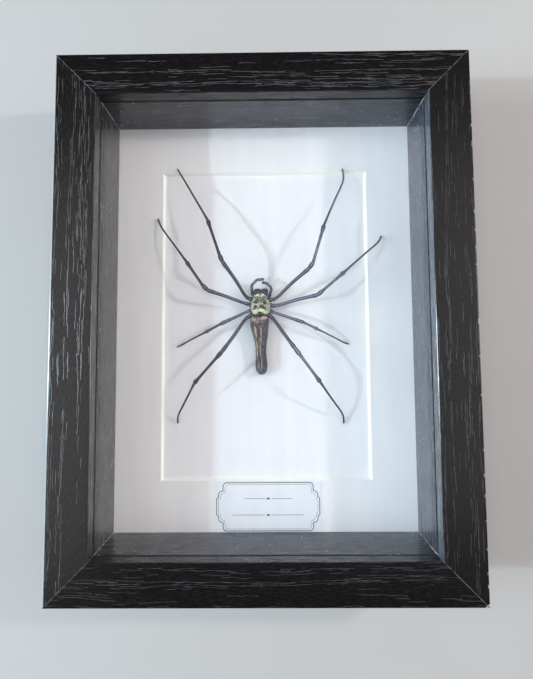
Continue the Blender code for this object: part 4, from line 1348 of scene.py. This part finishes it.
# Lamps like soft windows beside the frame: place, power, colour and size
WINDOWS = {
    "high_window_left": ((-0.840, -0.065, 0.600), 3.52, (0.70, 0.86, 0.99), (0.032, 0.032)),
    "high_window_right": ((0.568, 0.160, 0.450), 1.40, (1.0, 0.91, 0.86), (0.050, 0.030)),
    "low_window_left": ((-1.6, 0.0, 0.36), 31.0, (0.77, 0.92, 1.0), (0.30, 0.50)),
    "low_window_right": ((1.6, 0.0, 0.45), 5.1, (1.0, 0.96, 0.94), (0.30, 0.50)),
}
# Panels of light overhead, which the glass and the rails mirror: from and to, as x over z, and colour
PANELS = (
    (-0.62, -0.37, (1.70, 1.68, 1.68)),
    (-0.37, -0.116, (0.64, 0.60, 0.66)),
    (-0.116, 0.127, (0.72, 0.74, 0.88)),
    (0.127, 0.37, (0.87, 0.93, 1.04)),
    (0.37, 0.62, (1.80, 1.70, 1.68)),
)
PANEL_EDGE = 0.015


def build_floor():
    bm = bmesh.new()
    bmesh.ops.create_grid(bm, x_segments=1, y_segments=1, size=3.0)
    mesh = bpy.data.meshes.new("floor")
    bm.to_mesh(mesh)
    bm.free()
    pale = Surface("pale_floor", Roughness=0.7)
    soft = pale.noise(pale.where, 30.0, 3.0)
    mesh.materials.append(pale.finish(Base_Color=pale.blend(soft, (0.66, 0.65, 0.63), (0.69, 0.68, 0.66))))
    floor = bpy.data.objects.new("floor", mesh)
    bpy.context.scene.collection.objects.link(floor)


def window_light(name, place, power, colour, size):
    lamp = bpy.data.lights.new(name, "AREA")
    lamp.shape = "RECTANGLE"
    lamp.size, lamp.size_y = size
    lamp.energy = power
    lamp.color = colour
    placed = bpy.data.objects.new(name, lamp)
    placed.location = place
    placed.rotation_euler = (Vector((0, 0, 0.03)) - placed.location).to_track_quat("-Z", "Y").to_euler()
    bpy.context.scene.collection.objects.link(placed)


def room_light():
    """A dim surround with a row of soft panels overhead, dark beyond the head and foot of the frame."""
    world = bpy.data.worlds.new("studio")
    world.use_nodes = True
    nodes = Nodes(world.node_tree)
    x, y, z = nodes.take("Generated", "TexCoord").split()
    height = nodes.maths("MAXIMUM", z, 0.05)
    sideways, upward = x / height, y / height
    within = upward.ramp(-0.41, -0.35) * upward.ramp(0.44, 0.54, 1.0, 0.0)
    beside = upward.ramp(-0.54, -0.46) * upward.ramp(0.26, 0.54, 1.0, 0.0)
    light = (0.11, 0.11, 0.115)
    for number, (low, high, colour) in enumerate(PANELS):
        rise = sideways.ramp(low - PANEL_EDGE, low + PANEL_EDGE)
        inside = rise * sideways.ramp(high - PANEL_EDGE, high + PANEL_EDGE, 1.0, 0.0)
        light = nodes.blend(inside * (within if number else beside), light, colour)
    nodes.feed(world.node_tree.nodes["Background"].inputs["Color"], light)
    bpy.context.scene.world = world


def photo_camera():
    """The photo's viewpoint, 19 cm above the frame's face, for a picture of 533 x 679."""
    camera = bpy.data.cameras.new("camera")
    camera.sensor_width = 36.0
    camera.lens = 24.39
    camera.shift_y = -0.0227
    camera.clip_start = 0.01
    placed = bpy.data.objects.new("camera", camera)
    placed.location = (0.00315, -0.01507, 0.23634)
    placed.rotation_euler = [math.radians(angle) for angle in (3.859, 0.556, -0.395)]
    bpy.context.scene.collection.objects.link(placed)
    bpy.context.scene.camera = placed


build_floor()
for window, settings in WINDOWS.items():
    window_light(window, *settings)
room_light()
photo_camera()
bpy.context.scene.view_settings.view_transform = "Standard"
